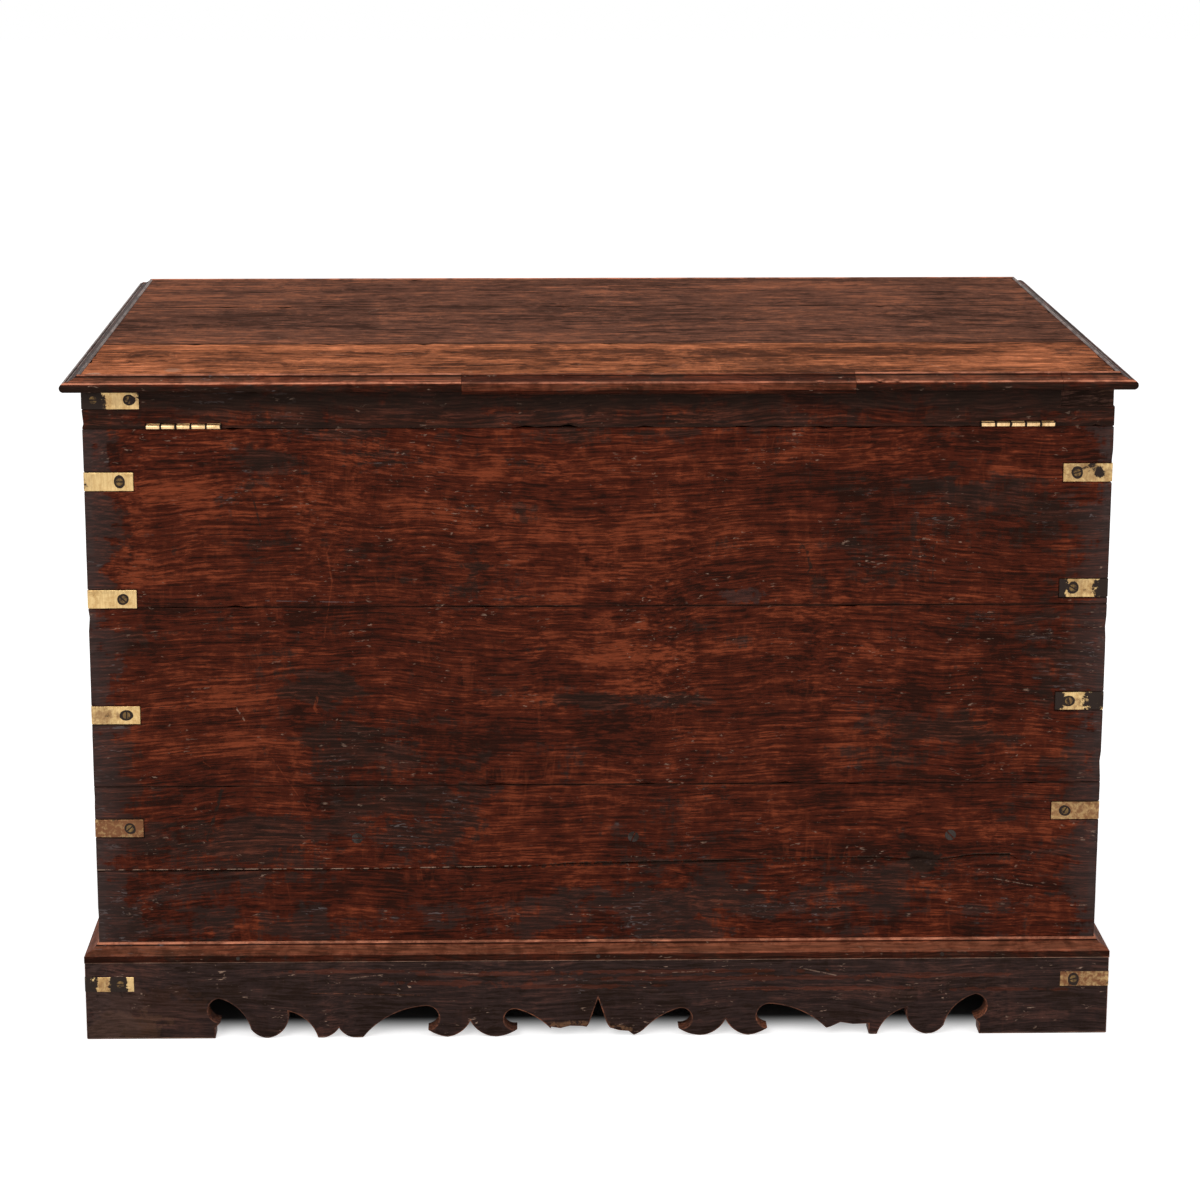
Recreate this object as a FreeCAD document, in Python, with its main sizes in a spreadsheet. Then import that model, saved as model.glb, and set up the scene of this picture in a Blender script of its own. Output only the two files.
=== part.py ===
import FreeCAD, Part
import math
import os
import re
import Sketcher

# A brass-bound teak chest on a scalloped plinth, in millimetres.
# The origin is on the ground under the middle of the chest. The hinge side faces -Y and the lock side +Y.

Vector = FreeCAD.Vector
doc = FreeCAD.newDocument("damchiya_chest")
sheet = doc.addObject("Spreadsheet::Sheet", "Sizes")

SIZES = [
    # the lid's outside
    ("lid_length", 1080),
    ("lid_depth", 660),
    ("lid_overhang", 19),
    # carcass walls and their boards
    ("wall_thickness", 20),
    ("lower_board_height", 188),
    ("middle_board_height", 191),
    ("upper_board_height", 186),
    ("rebate_depth", 10),
    # floor on its ledgers
    ("ledger_height", 30),
    ("ledger_thickness", 25),
    ("ledger_rise", 116),
    ("floor_thickness", 15),
    # plinth
    ("plinth_height", 84),
    ("plinth_thickness", 20),
    ("plinth_proud", 14),
    ("plinth_moulding_height", 18.5),
    ("scallop_height", 44.5),
    ("corner_block_width", 45),
    # lid
    ("rail_height", 40),
    ("lid_board_thickness", 16),
    ("lid_moulding_height", 17),
    ("patch_drop", 3),
    ("batten_width", 60),
    ("batten_thickness", 10),
    ("batten_spacing", 560),
    ("batten_end_gap", 4),
    # brass angle straps
    ("strap_thickness", 1.6),
    ("strap_proud", 0.3),
    ("corner_strap_leg", 50),
    ("corner_strap_height", 19),
    ("plinth_strap_leg", 51),
    ("plinth_strap_height", 16),
    ("plinth_strap_rise", 61),
    ("lid_strap_leg", 58),
    ("lid_strap_height", 19),
    ("lid_strap_drop", 10),
    ("strap_screw_inset", 14),
    ("lid_strap_end_inset", 10),
    ("lid_strap_near_screw", 12),
    ("lid_strap_far_screw", 26),
    # brass screws
    ("brass_head_radius", 4),
    ("brass_shank_radius", 1.8),
    ("brass_screw_length", 18),
    # iron screws of the ledgers
    ("iron_head_radius", 5.8),
    ("iron_shank_radius", 2.6),
    ("iron_screw_length", 30),
    # what both kinds of screw share
    ("slot_width", 1.2),
    ("slot_depth", 1),
    ("screw_fit", 0.1),
    ("screw_tip_length", 3),
    # moulding nails
    ("nail_head_radius", 2.2),
    ("nail_head_height", 1),
    ("nail_shank_radius", 1.1),
    ("nail_length", 28),
    ("nail_rise", 5),
    # butt hinges
    ("hinge_length", 76),
    ("hinge_left_inset", 64),
    ("hinge_right_inset", 60),
    ("hinge_leaf_thickness", 2.4),
    ("hinge_leaf_gap", 0.4),
    ("hinge_leaf_width", 16),
    ("hinge_axis_out", 1.5),
    ("hinge_mortise_fit", 0.3),
    ("knuckle_radius", 2.5),
    ("knuckle_gap", 0.3),
    ("knuckle_clearance", 0.4),
    ("hinge_pin_radius", 1.1),
    ("running_fit", 0.05),
    ("hinge_screw_edge", 12),
    # lock
    ("lock_case_length", 80),
    ("lock_case_height", 55),
    ("lock_case_thickness", 10.7),
    ("lock_wall", 1.6),
    ("lock_plate_margin", 10),
    ("lock_screw_drop", 8),
    ("lock_fit", 0.3),
    ("bolt_length", 56),
    ("bolt_bar_height", 7),
    ("bolt_bar_drop", 25),
    ("bolt_finger_length", 8),
    ("bolt_finger_thickness", 3),
    ("bolt_finger_height", 6),
    ("bolt_finger_drop", 13),
    ("bolt_arm_width", 4),
    ("bolt_tip_gap", 0.7),
    ("loop_spacing", 36),
    ("loop_thickness", 3),
    ("loop_width", 6.4),
    ("loop_length", 18.5),
    ("loop_hole_width", 3.6),
    ("loop_hole_height", 7.2),
    ("loop_clearance", 1),
    ("link_plate_width", 8.6),
    ("link_plate_thickness", 1.6),
    ("link_plate_gap", 0.4),
    ("link_screw_spacing", 64),
    ("keyhole_radius", 3),
    ("keyhole_slot_width", 3),
    ("keyhole_slot_length", 10),
    ("keyhole_drop", 31),
    ("key_plate_radius", 17),
    ("key_plate_thickness", 1.2),
    # carrying handles
    ("bail_span", 124),
    ("bail_drop", 46),
    ("bail_radius", 3.6),
    ("bail_eye_bend", 8),
    ("bail_bend", 16),
    ("bail_end_length", 1.5),
    ("bail_axis_out", 11.5),
    ("post_inset", 15),
    ("post_radius", 5.6),
    ("rosette_radius", 18),
    ("rosette_top_radius", 9),
    ("rosette_thickness", 2.5),
    ("tang_radius", 3),
    ("rivet_radius", 7),
    ("rivet_height", 3),
    # one length by which every cut runs past what it cuts
    ("overrun", 2),
]

# Heights of the angle straps' middles, as shares of the carcass's height, from the top down.
LEFT_STRAP_SHARES = (0.904, 0.687, 0.469, 0.253)
RIGHT_STRAP_SHARES = (0.915, 0.701, 0.488, 0.278)

# Places of screws and nails along a wall, as shares of half its length from its middle.
LONG_LEDGER_SCREW_SHARES = (-0.48, 0.07, 0.704)
END_LEDGER_SCREW_SHARES = (-0.55, 0.52)
LONG_NAIL_SHARES = (-0.72, 0.0, 0.69)
END_NAIL_SHARES = (-0.6, 0.6)

# Joints of the back lid moulding as shares of half the lid's length, and edges of the lid and floor boards
# as shares of the depth that they cover.
MOULDING_JOINT_SHARES = (-0.257, 0.475, 0.860)
LID_BOARD_SHARES = (0.0, 0.28, 0.67, 1.0)
FLOOR_BOARD_SHARES = (0.0, 0.34, 0.68, 1.0)
MIDDLE_SHARE = 0.5

# Height of the handles' pivots up the middle end board, as a share of that board's height.
HANDLE_SHARE = 0.88

# Sections of the two mouldings, outwards from the wall and up from the lower edge, as shares of the
# section's width and height. A row is an end point, or the middle and end points of an arc.
LID_SECTION_SHARES = (
    ((0.0, 0.0),),
    ((0.74, 0.0),),
    ((1.0, 0.32), (0.8, 0.6)),
    ((0.765, 0.57),),
    ((0.735, 0.66), (0.695, 0.61)),
    ((0.46, 0.70), (0.25, 0.87)),
    ((0.22, 0.83),),
    ((0.12, 1.0), (0.0, 0.94)),
)
PLINTH_SECTION_SHARES = (
    ((0.0, 0.0),),
    ((1.0, 0.0),),
    ((1.0, 0.44),),
    ((0.90, 0.47),),
    ((0.74, 0.60), (0.50, 0.68)),
    ((0.26, 0.78), (0.12, 0.94)),
    ((0.12, 1.0),),
    ((0.0, 1.0),),
)

# Half of the scalloped lower edge of a long plinth board, from its foot to its middle: distance from the
# middle as a share of half the board's length, and height as a share of the scallops' height.
LONG_SCALLOP_SHARES = (
    ((0.748, 0.0),),
    ((0.748, 0.27),),
    ((0.738, 0.40),),
    ((0.762, 0.68), (0.740, 1.0)),
    ((0.705, 0.76), (0.679, 0.22)),
    ((0.664, 0.06), (0.645, 0.0)),
    ((0.617, 0.18), (0.605, 0.67)),
    ((0.572, 0.46), (0.548, 0.0)),
    ((0.537, 0.0),),
    ((0.519, 0.09), (0.507, 0.24)),
    ((0.496, 0.09), (0.479, 0.0)),
    ((0.460, 0.0),),
    ((0.409, 0.53), (0.341, 0.78)),
    ((0.311, 0.50), (0.333, 0.18)),
    ((0.314, 0.06), (0.295, 0.0)),
    ((0.267, 0.14), (0.250, 0.40)),
    ((0.230, 0.12), (0.200, 0.0)),
    ((0.177, 0.06), (0.157, 0.19)),
    ((0.184, 0.44), (0.160, 0.69)),
    ((0.124, 0.50), (0.094, 0.21)),
    ((0.078, 0.06), (0.060, 0.0)),
    ((0.032, 0.11), (0.015, 0.40)),
    ((0.0, 0.95),),
)
# The same for the shorter boards of the two ends.
END_SCALLOP_SHARES = (
    ((0.650, 0.0),),
    ((0.650, 0.27),),
    ((0.634, 0.40),),
    ((0.671, 0.68), (0.637, 1.0)),
    ((0.580, 0.76), (0.537, 0.22)),
    ((0.511, 0.06), (0.480, 0.0)),
    ((0.438, 0.20), (0.414, 0.67)),
    ((0.374, 0.40), (0.329, 0.0)),
    ((0.294, 0.08), (0.258, 0.19)),
    ((0.296, 0.44), (0.263, 0.69)),
    ((0.204, 0.50), (0.154, 0.21)),
    ((0.128, 0.06), (0.098, 0.0)),
    ((0.053, 0.11), (0.025, 0.40)),
    ((0.0, 0.95),),
)
# What has broken off the back plinth board, in the same shares measured from its middle.
BROKEN_MIDDLE_SHARES = ((-0.092, -0.1), (-0.092, 0.24), (-0.055, 0.26), (0.02, 0.22), (0.06, 0.12),
                        (0.082, -0.1))
BROKEN_TIP_SHARES = ((0.424, -0.1), (0.424, 0.11), (0.457, 0.20), (0.476, 0.31), (0.531, 0.27), (0.531, -0.1))

# Counts and angles.
KNUCKLES = 5
QUARTER_TURN = 90
FULL_TURN = 360
SLOT_TURN = 67
BACK, RIGHT, FRONT, LEFT = 0, 90, 180, 270
CORNERS = (("back_left", -1, -1, BACK), ("back_right", 1, -1, RIGHT),
           ("front_right", 1, 1, FRONT), ("front_left", -1, 1, LEFT))

# Lengths that follow from the sheet, in the words of its expressions.
CASE_LENGTH = "(lid_length - 2 * lid_overhang)"
CASE_DEPTH = "(lid_depth - 2 * lid_overhang)"
INNER_LENGTH = "(%s - 2 * wall_thickness)" % CASE_LENGTH
INNER_DEPTH = "(%s - 2 * wall_thickness)" % CASE_DEPTH
CASE_TOP = "(plinth_height + lower_board_height + middle_board_height + upper_board_height)"
RAIL_TOP = "(%s + rail_height)" % CASE_TOP
LEDGER_BASE = "(plinth_height + ledger_rise)"
PLINTH_LENGTH = "(%s + 2 * plinth_proud)" % CASE_LENGTH
PLINTH_DEPTH = "(%s + 2 * plinth_proud)" % CASE_DEPTH
HINGE_Y = "(-%s / 2 - hinge_axis_out)" % CASE_DEPTH
HINGE_Z = "(%s + hinge_leaf_thickness + hinge_leaf_gap / 2)" % CASE_TOP
LOCK_Y = "(%s / 2)" % INNER_DEPTH
LOCK_MIDDLE_Y = "(%s + (lock_case_thickness - lock_wall) / 2)" % LOCK_Y
FINGER_Z = "(%s - bolt_finger_drop)" % CASE_TOP
HANDLE_Z = "(plinth_height + lower_board_height + %s * middle_board_height)" % HANDLE_SHARE
POST_Y = "(bail_span / 2 - post_inset)"

for row, (alias, value) in enumerate(SIZES, 1):
    sheet.set("A%d" % row, alias)
    sheet.set("B%d" % row, str(value))
    sheet.setAlias("B%d" % row, alias)
doc.recompute()
ALIASES = {alias for alias, value in SIZES}


def size(name):
    """The value of a named size."""
    return float(sheet.get(name))


case_length = size("lid_length") - 2 * size("lid_overhang")
case_depth = size("lid_depth") - 2 * size("lid_overhang")
case_height = size("lower_board_height") + size("middle_board_height") + size("upper_board_height")
case_top = size("plinth_height") + case_height
rail_top = case_top + size("rail_height")
plinth_length = case_length + 2 * size("plinth_proud")
plinth_depth = case_depth + 2 * size("plinth_proud")
inner_depth = case_depth - 2 * size("wall_thickness")
handle_z = size("plinth_height") + size("lower_board_height") + HANDLE_SHARE * size("middle_board_height")
post_y = size("bail_span") / 2 - size("post_inset")


def bind(thing, prop, words):
    """Tie a property to the sheet with an expression in named sizes."""
    linked = re.sub("[a-z_]+", lambda found: "Sizes." + found[0] if found[0] in ALIASES else found[0], words)
    thing.setExpression(prop, linked)


def place(thing, low):
    """Tie the three coordinates of a thing's placement to the sheet."""
    for axis, words in zip("xyz", low):
        bind(thing, "Placement.Base." + axis, words)
    return thing


def block(name, low, lengths):
    """A squared block from its lowest corner and its three lengths."""
    box = doc.addObject("Part::Box", name)
    for prop, words in zip(("Length", "Width", "Height"), lengths):
        bind(box, prop, words)
    return place(box, low)


def rod(name, start, radius, length, axis):
    """A round rod that starts at a point and runs along X, Y or Z."""
    turns = {"x": FreeCAD.Rotation(Vector(0, 1, 0), QUARTER_TURN),
             "y": FreeCAD.Rotation(Vector(1, 0, 0), -QUARTER_TURN),
             "z": FreeCAD.Rotation()}
    cylinder = doc.addObject("Part::Cylinder", name)
    bind(cylinder, "Radius", radius)
    bind(cylinder, "Height", length)
    cylinder.Placement = FreeCAD.Placement(Vector(), turns[axis])
    return place(cylinder, start)


def cut(name, base, *tools):
    """The base with every tool cut out of it, in turn."""
    for number, tool in enumerate(tools, 1):
        taken = doc.addObject("Part::Cut", "%s_cut_%d" % (name, number))
        taken.Base = base
        taken.Tool = tool
        base = taken
    return base


def common(name, first, second):
    """What two solids share."""
    shared = doc.addObject("Part::Common", name + "_shared")
    shared.Base = first
    shared.Tool = second
    return shared


def fuse(name, things):
    """Several solids made into one."""
    joined = doc.addObject("Part::MultiFuse", name + "_joined")
    joined.Shapes = things
    joined.Refine = True
    return joined


def group(name, things):
    """Several solids kept apart in one object."""
    gathered = doc.addObject("Part::Compound", name + "_group")
    gathered.Links = things
    return gathered


def turned(thing, angle):
    """The same thing turned about the chest's upright middle line."""
    thing.Placement = FreeCAD.Placement(Vector(), FreeCAD.Rotation(Vector(0, 0, 1), angle))
    return thing


def outline_sketch(body, name, role, corners):
    """A closed outline of straight lines in a body's own origin plane, each corner tied to the sheet."""
    sketch = body.newObject("Sketcher::SketchObject", name)
    plane = [feature for feature in body.Origin.OriginFeatures if feature.Role == role][0]
    sketch.AttachmentSupport = [(plane, "")]
    sketch.MapMode = "FlatFace"
    count = len(corners)
    ring = [Vector(math.cos(math.tau * number / count), math.sin(math.tau * number / count), 0)
            for number in range(count)]
    for number in range(count):
        sketch.addGeometry(Part.LineSegment(ring[number], ring[(number + 1) % count]), False)
    for number in range(count):
        sketch.addConstraint(Sketcher.Constraint("Coincident", number, 2, (number + 1) % count, 1))
    for number, corner in enumerate(corners):
        for kind, words, start in zip(("DistanceX", "DistanceY"), corner, ring[number]):
            held = sketch.addConstraint(Sketcher.Constraint(kind, -1, 1, number, 1, start))
            bind(sketch, "Constraints[%d]" % held, words)
    return sketch


def padded_body(name, corners, height):
    """A body whose plan outline is padded upwards."""
    body = doc.addObject("PartDesign::Body", name)
    pad = body.newObject("PartDesign::Pad", name + "_pad")
    pad.Profile = outline_sketch(body, name + "_plan", "XY_Plane", corners)
    bind(pad, "Length", height)
    return body


def turned_body(name, corners):
    """A body whose half section is revolved about the upright axis."""
    body = doc.addObject("PartDesign::Body", name)
    sketch = outline_sketch(body, name + "_section", "XZ_Plane", corners)
    turning = body.newObject("PartDesign::Revolution", name + "_turning")
    turning.Profile = sketch
    turning.ReferenceAxis = (sketch, ["V_Axis"])
    turning.Angle = FULL_TURN
    return body


def path_edges(rows, point):
    """Edges through rows of shares: one pair for a straight stretch, two for an arc."""
    edges = []
    start = point(rows[0][0])
    for row in rows[1:]:
        stops = [point(pair) for pair in row]
        curve = Part.Arc(start, *stops) if len(stops) == 2 else Part.LineSegment(start, *stops)
        edges.append(curve.toShape())
        start = stops[-1]
    return edges


def outline_face(name, edges):
    """A flat face inside a closed outline."""
    feature = doc.addObject("Part::Feature", name + "_outline")
    feature.Shape = Part.Face(Part.Wire(Part.__sortEdges__(edges)))
    return feature


def extruded(name, face, direction, length):
    """A face drawn out to a solid."""
    solid = doc.addObject("Part::Extrusion", name + "_length")
    solid.Base = face
    solid.DirMode = "Custom"
    solid.Dir = direction
    solid.Solid = True
    bind(solid, "LengthFwd", length)
    return solid


def mitre_block(name, run, reach, width, low, high):
    """A wedge with 45 degree ends, run long on its outer face, which lies reach behind the middle."""
    wedge = doc.addObject("Part::Wedge", name + "_mitres")
    bind(wedge, "Ymin", "-%s - overrun" % reach)
    bind(wedge, "Ymax", "-%s + %s + overrun" % (reach, width))
    for prop in ("Zmin", "Z2min"):
        bind(wedge, prop, "%s - overrun" % low)
    for prop in ("Zmax", "Z2max"):
        bind(wedge, prop, "%s + overrun" % high)
    bind(wedge, "Xmin", "-%s / 2 - overrun" % run)
    bind(wedge, "Xmax", "%s / 2 + overrun" % run)
    bind(wedge, "X2min", "-%s / 2 + %s + overrun" % (run, width))
    bind(wedge, "X2max", "%s / 2 - %s - overrun" % (run, width))
    return wedge


def section_strip(name, rows, span, width, height, face_at, base):
    """A moulding section drawn out along X, its back against the plane y = -face_at."""
    start = -span / 2 - size("overrun")
    corners = path_edges(rows + (rows[0],),
                         lambda pair: Vector(start, -face_at - pair[0] * width, base + pair[1] * height))
    return outline_face(name, corners)


def copies(name, master, placements):
    """One object that holds a copy of a master solid at each placement."""
    feature = doc.addObject("Part::Feature", name)
    shapes = []
    for placement in placements:
        shape = master.Shape.copy()
        shape.Placement = placement
        shapes.append(shape)
    feature.Shape = Part.makeCompound(shapes)
    return feature


def driven(points):
    """Placements of screws or nails from their head points and the directions that they are driven in."""
    placements = []
    for number, (point, direction) in enumerate(points):
        aim = FreeCAD.Rotation(Vector(0, 0, -1), direction)
        spin = FreeCAD.Rotation(Vector(0, 0, 1), number * SLOT_TURN)
        placements.append(FreeCAD.Placement(point, aim.multiply(spin)))
    return placements


def corner_placement(signs, angle, length, depth, height):
    """The placement of a corner piece whose own corner is at its origin."""
    point = Vector(signs[0] * length / 2, signs[1] * depth / 2, height)
    return FreeCAD.Placement(point, FreeCAD.Rotation(Vector(0, 0, 1), angle))


def strap_screws(placement, along_first, along_second):
    """Screw points of an angle strap: distances from the corner along its first and its second leg."""
    out = -size("strap_proud")
    turn = placement.Rotation
    points = [(placement.multVec(Vector(far, out, 0)), turn.multVec(Vector(0, 1, 0))) for far in along_first]
    points += [(placement.multVec(Vector(out, far, 0)), turn.multVec(Vector(1, 0, 0))) for far in along_second]
    return points


nodes = {}


def keep(name, thing):
    """Name a finished piece, which is then written out."""
    thing.Label = name
    nodes[name] = thing


def slotted_screw(name, head, shank, length):
    """A countersunk wood screw with a straight slot, its head's top at the origin, and the hole it needs."""
    neck = "-(%s - %s)" % (head, shank)
    screw = turned_body(name, [("0", "0"), (head, "0"), (shank, neck),
                               (shank, "-%s + screw_tip_length" % length), ("0", "-" + length)])
    pocket = screw.newObject("PartDesign::Pocket", name + "_slot")
    across = "%s + overrun" % head
    pocket.Profile = outline_sketch(screw, name + "_slot_plan", "XY_Plane",
                                    [("-(%s)" % across, "-slot_width / 2"), (across, "-slot_width / 2"),
                                     (across, "slot_width / 2"), ("-(%s)" % across, "slot_width / 2")])
    bind(pocket, "Length", "slot_depth")
    wide, thin = "%s + screw_fit" % head, "%s + screw_fit" % shank
    seat = turned_body(name + "_hole", [("0", "overrun"), (wide, "overrun"), (wide, "0"), (thin, neck),
                                        (thin, "-%s - screw_fit" % length), ("0", "-%s - screw_fit" % length)])
    return screw, seat


brass_screw, brass_hole = slotted_screw("brass_screw", "brass_head_radius", "brass_shank_radius",
                                        "brass_screw_length")
iron_screw, iron_hole = slotted_screw("iron_screw", "iron_head_radius", "iron_shank_radius",
                                      "iron_screw_length")
nail = turned_body("nail", [("0", "0"), ("nail_head_radius", "0"), ("nail_head_radius", "-nail_head_height"),
                            ("nail_shank_radius", "-nail_head_height"),
                            ("nail_shank_radius", "-nail_length"), ("0", "-nail_length")])
nail_hole = turned_body("nail_hole", [("0", "overrun"), ("nail_head_radius + screw_fit", "overrun"),
                                      ("nail_head_radius + screw_fit", "-nail_head_height"),
                                      ("nail_shank_radius + screw_fit", "-nail_head_height"),
                                      ("nail_shank_radius + screw_fit", "-nail_length - screw_fit"),
                                      ("0", "-nail_length - screw_fit")])


def angle_strap(name, leg, height):
    """A brass angle strap round a corner of wood that lies towards +X and +Y of the origin."""
    inner = "strap_thickness - strap_proud"
    return padded_body(name, [("-strap_proud", "-strap_proud"), (leg, "-strap_proud"), (leg, inner),
                              (inner, inner), (inner, leg), ("-strap_proud", leg)], height)


corner_strap = angle_strap("corner_strap", "corner_strap_leg", "corner_strap_height")
plinth_strap = angle_strap("plinth_strap", "plinth_strap_leg", "plinth_strap_height")
lid_strap = angle_strap("lid_strap", "lid_strap_leg", "lid_strap_height")
doc.recompute()
if brass_screw.Shape.Volume >= brass_screw.Group[1].Shape.Volume:
    raise ValueError("the screw's slot has cut nothing")

# Places of straps, screws and nails, collected before the wood is cut for them.
carcass_brass = []
lid_brass = []
corner_straps = {"back": [], "front": []}
plinth_straps = []
lid_straps = []
for corner, across, along, angle in CORNERS:
    signs = (across, along)
    shares = LEFT_STRAP_SHARES if across < 0 else RIGHT_STRAP_SHARES
    far = size("corner_strap_leg") - size("strap_screw_inset")
    for share in shares:
        middle = size("plinth_height") + share * case_height
        low = middle - size("corner_strap_height") / 2
        corner_straps[corner.split("_")[0]].append(corner_placement(signs, angle, case_length, case_depth, low))
        centre = corner_placement(signs, angle, case_length, case_depth, middle)
        carcass_brass += strap_screws(centre, [far], [far])
    middle = size("plinth_strap_rise")
    far = size("plinth_strap_leg") - size("strap_screw_inset")
    low = middle - size("plinth_strap_height") / 2
    plinth_straps.append(corner_placement(signs, angle, plinth_length, plinth_depth, low))
    centre = corner_placement(signs, angle, plinth_length, plinth_depth, middle)
    carcass_brass += strap_screws(centre, [far], [far])
    if corner != "back_right":
        middle = rail_top - size("lid_strap_drop")
        far = size("lid_strap_leg") - size("lid_strap_end_inset")
        low = middle - size("lid_strap_height") / 2
        lid_straps.append(corner_placement(signs, angle, case_length, case_depth, low))
        centre = corner_placement(signs, angle, case_length, case_depth, middle)
        lid_brass += strap_screws(centre, [size("lid_strap_near_screw"), far],
                                  [size("lid_strap_far_screw"), far])

hinge_starts = {"left": -case_length / 2 + size("hinge_left_inset"),
                "right": case_length / 2 - size("hinge_right_inset") - size("hinge_length")}
leaf_inner = -case_depth / 2 + size("hinge_leaf_width")
leaf_outer = -case_depth / 2 - size("hinge_axis_out") + size("knuckle_radius") + size("knuckle_clearance")
hinge_edge = size("hinge_screw_edge")
for start in hinge_starts.values():
    for step in (hinge_edge, size("hinge_length") / 2, size("hinge_length") - hinge_edge):
        x, y = start + step, (leaf_inner + leaf_outer) / 2
        carcass_brass.append((Vector(x, y, case_top + size("hinge_leaf_thickness")), Vector(0, 0, -1)))
        lid_brass.append((Vector(x, y, case_top + size("hinge_leaf_thickness") + size("hinge_leaf_gap")),
                          Vector(0, 0, 1)))

lock_out = size("lock_case_length") / 2 + size("lock_plate_margin") / 2
lock_low = case_top - size("lock_case_height") - size("lock_plate_margin") / 2
for x in (-lock_out, lock_out):
    for z in (lock_low, case_top - size("lock_screw_drop")):
        carcass_brass.append((Vector(x, inner_depth / 2 - size("lock_wall"), z), Vector(0, 1, 0)))
lock_middle_y = inner_depth / 2 + (size("lock_case_thickness") - size("lock_wall")) / 2
for x in (-size("link_screw_spacing") / 2, size("link_screw_spacing") / 2):
    lid_brass.append((Vector(x, lock_middle_y, case_top + size("link_plate_gap")), Vector(0, 0, 1)))
for x in (-size("batten_spacing") / 2, size("batten_spacing") / 2):
    for near, far in zip(LID_BOARD_SHARES, LID_BOARD_SHARES[1:]):
        y = ((near + far) / 2 - MIDDLE_SHARE) * inner_depth
        lid_brass.append((Vector(x, y, rail_top - size("batten_thickness")), Vector(0, 0, 1)))

ledger_screw_z = size("plinth_height") + size("ledger_rise") + size("ledger_height") / 2
nail_z = size("plinth_height") + size("nail_rise")
ledger_points = []
nail_points = []
for angle in (BACK, RIGHT, FRONT, LEFT):
    long_side = angle in (BACK, FRONT)
    turn = FreeCAD.Rotation(Vector(0, 0, 1), angle)
    half, reach = (case_length / 2, case_depth / 2) if long_side else (case_depth / 2, case_length / 2)
    for share in LONG_LEDGER_SCREW_SHARES if long_side else END_LEDGER_SCREW_SHARES:
        ledger_points.append((turn.multVec(Vector(share * half, -reach, ledger_screw_z)),
                              turn.multVec(Vector(0, 1, 0))))
    for share in LONG_NAIL_SHARES if long_side else END_NAIL_SHARES:
        nail_points.append((turn.multVec(Vector(share * half, -reach - size("plinth_proud"), nail_z)),
                            turn.multVec(Vector(0, 1, 0))))

carcass_screws = copies("carcass_screws_made", brass_screw, driven(carcass_brass))
carcass_holes = copies("carcass_screw_holes", brass_hole, driven(carcass_brass))
lid_screws = copies("lid_screws_made", brass_screw, driven(lid_brass))
lid_holes = copies("lid_screw_holes", brass_hole, driven(lid_brass))
ledger_screws = copies("ledger_screws_made", iron_screw, driven(ledger_points))
ledger_holes = copies("ledger_screw_holes", iron_hole, driven(ledger_points))
nails = copies("nails_made", nail, driven(nail_points))
nail_holes = copies("nail_holes", nail_hole, driven(nail_points))
keep("brass_screws_carcass", carcass_screws)
keep("brass_screws_lid", lid_screws)
keep("floor_ledger_screws", ledger_screws)
keep("plinth_moulding_nails", nails)

strap_blanks = {side: copies(side + "_straps_made", corner_strap, places)
                for side, places in corner_straps.items()}
plinth_blanks = copies("plinth_straps_made", plinth_strap, plinth_straps)
lid_blanks = copies("lid_straps_made", lid_strap, lid_straps)
for side, blanks in strap_blanks.items():
    keep("corner_straps_" + side, cut("corner_straps_" + side, blanks, carcass_holes))
keep("plinth_straps", cut("plinth_straps", plinth_blanks, carcass_holes))
keep("lid_straps", cut("lid_straps", lid_blanks, lid_holes))

# The lock's hollow in the front wall, its keyhole through that wall, and the holes for the handles' tangs.
lock_pocket = block("lock_pocket",
                    ("-lock_case_length / 2 - lock_fit", LOCK_Y + " - overrun",
                     CASE_TOP + " - lock_case_height - lock_fit"),
                    ("lock_case_length + 2 * lock_fit", "lock_case_thickness + lock_fit + overrun",
                     "lock_case_height + lock_fit + overrun"))
keyhole_depth = "wall_thickness - lock_case_thickness + lock_wall + key_plate_thickness + 2 * overrun"
keyhole_start = "%s + lock_case_thickness - lock_wall - overrun" % LOCK_Y
keyhole = fuse("keyhole", [
    rod("keyhole_round", ("0", keyhole_start, CASE_TOP + " - keyhole_drop"), "keyhole_radius", keyhole_depth,
        "y"),
    block("keyhole_slot", ("-keyhole_slot_width / 2", keyhole_start,
                           CASE_TOP + " - keyhole_drop - keyhole_slot_length"),
          ("keyhole_slot_width", keyhole_depth, "keyhole_slot_length"))])
tang_holes = group("tang_holes", [
    rod("tang_hole_%d_%d" % (number, side),
        ("-%s / 2 - overrun" % CASE_LENGTH if number == 0 else "%s / 2 - overrun" % INNER_LENGTH,
         ("-" if side == 0 else "") + POST_Y, HANDLE_Z),
        "tang_radius + screw_fit", "wall_thickness + 2 * overrun", "x")
    for number in range(2) for side in range(2)])

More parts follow.
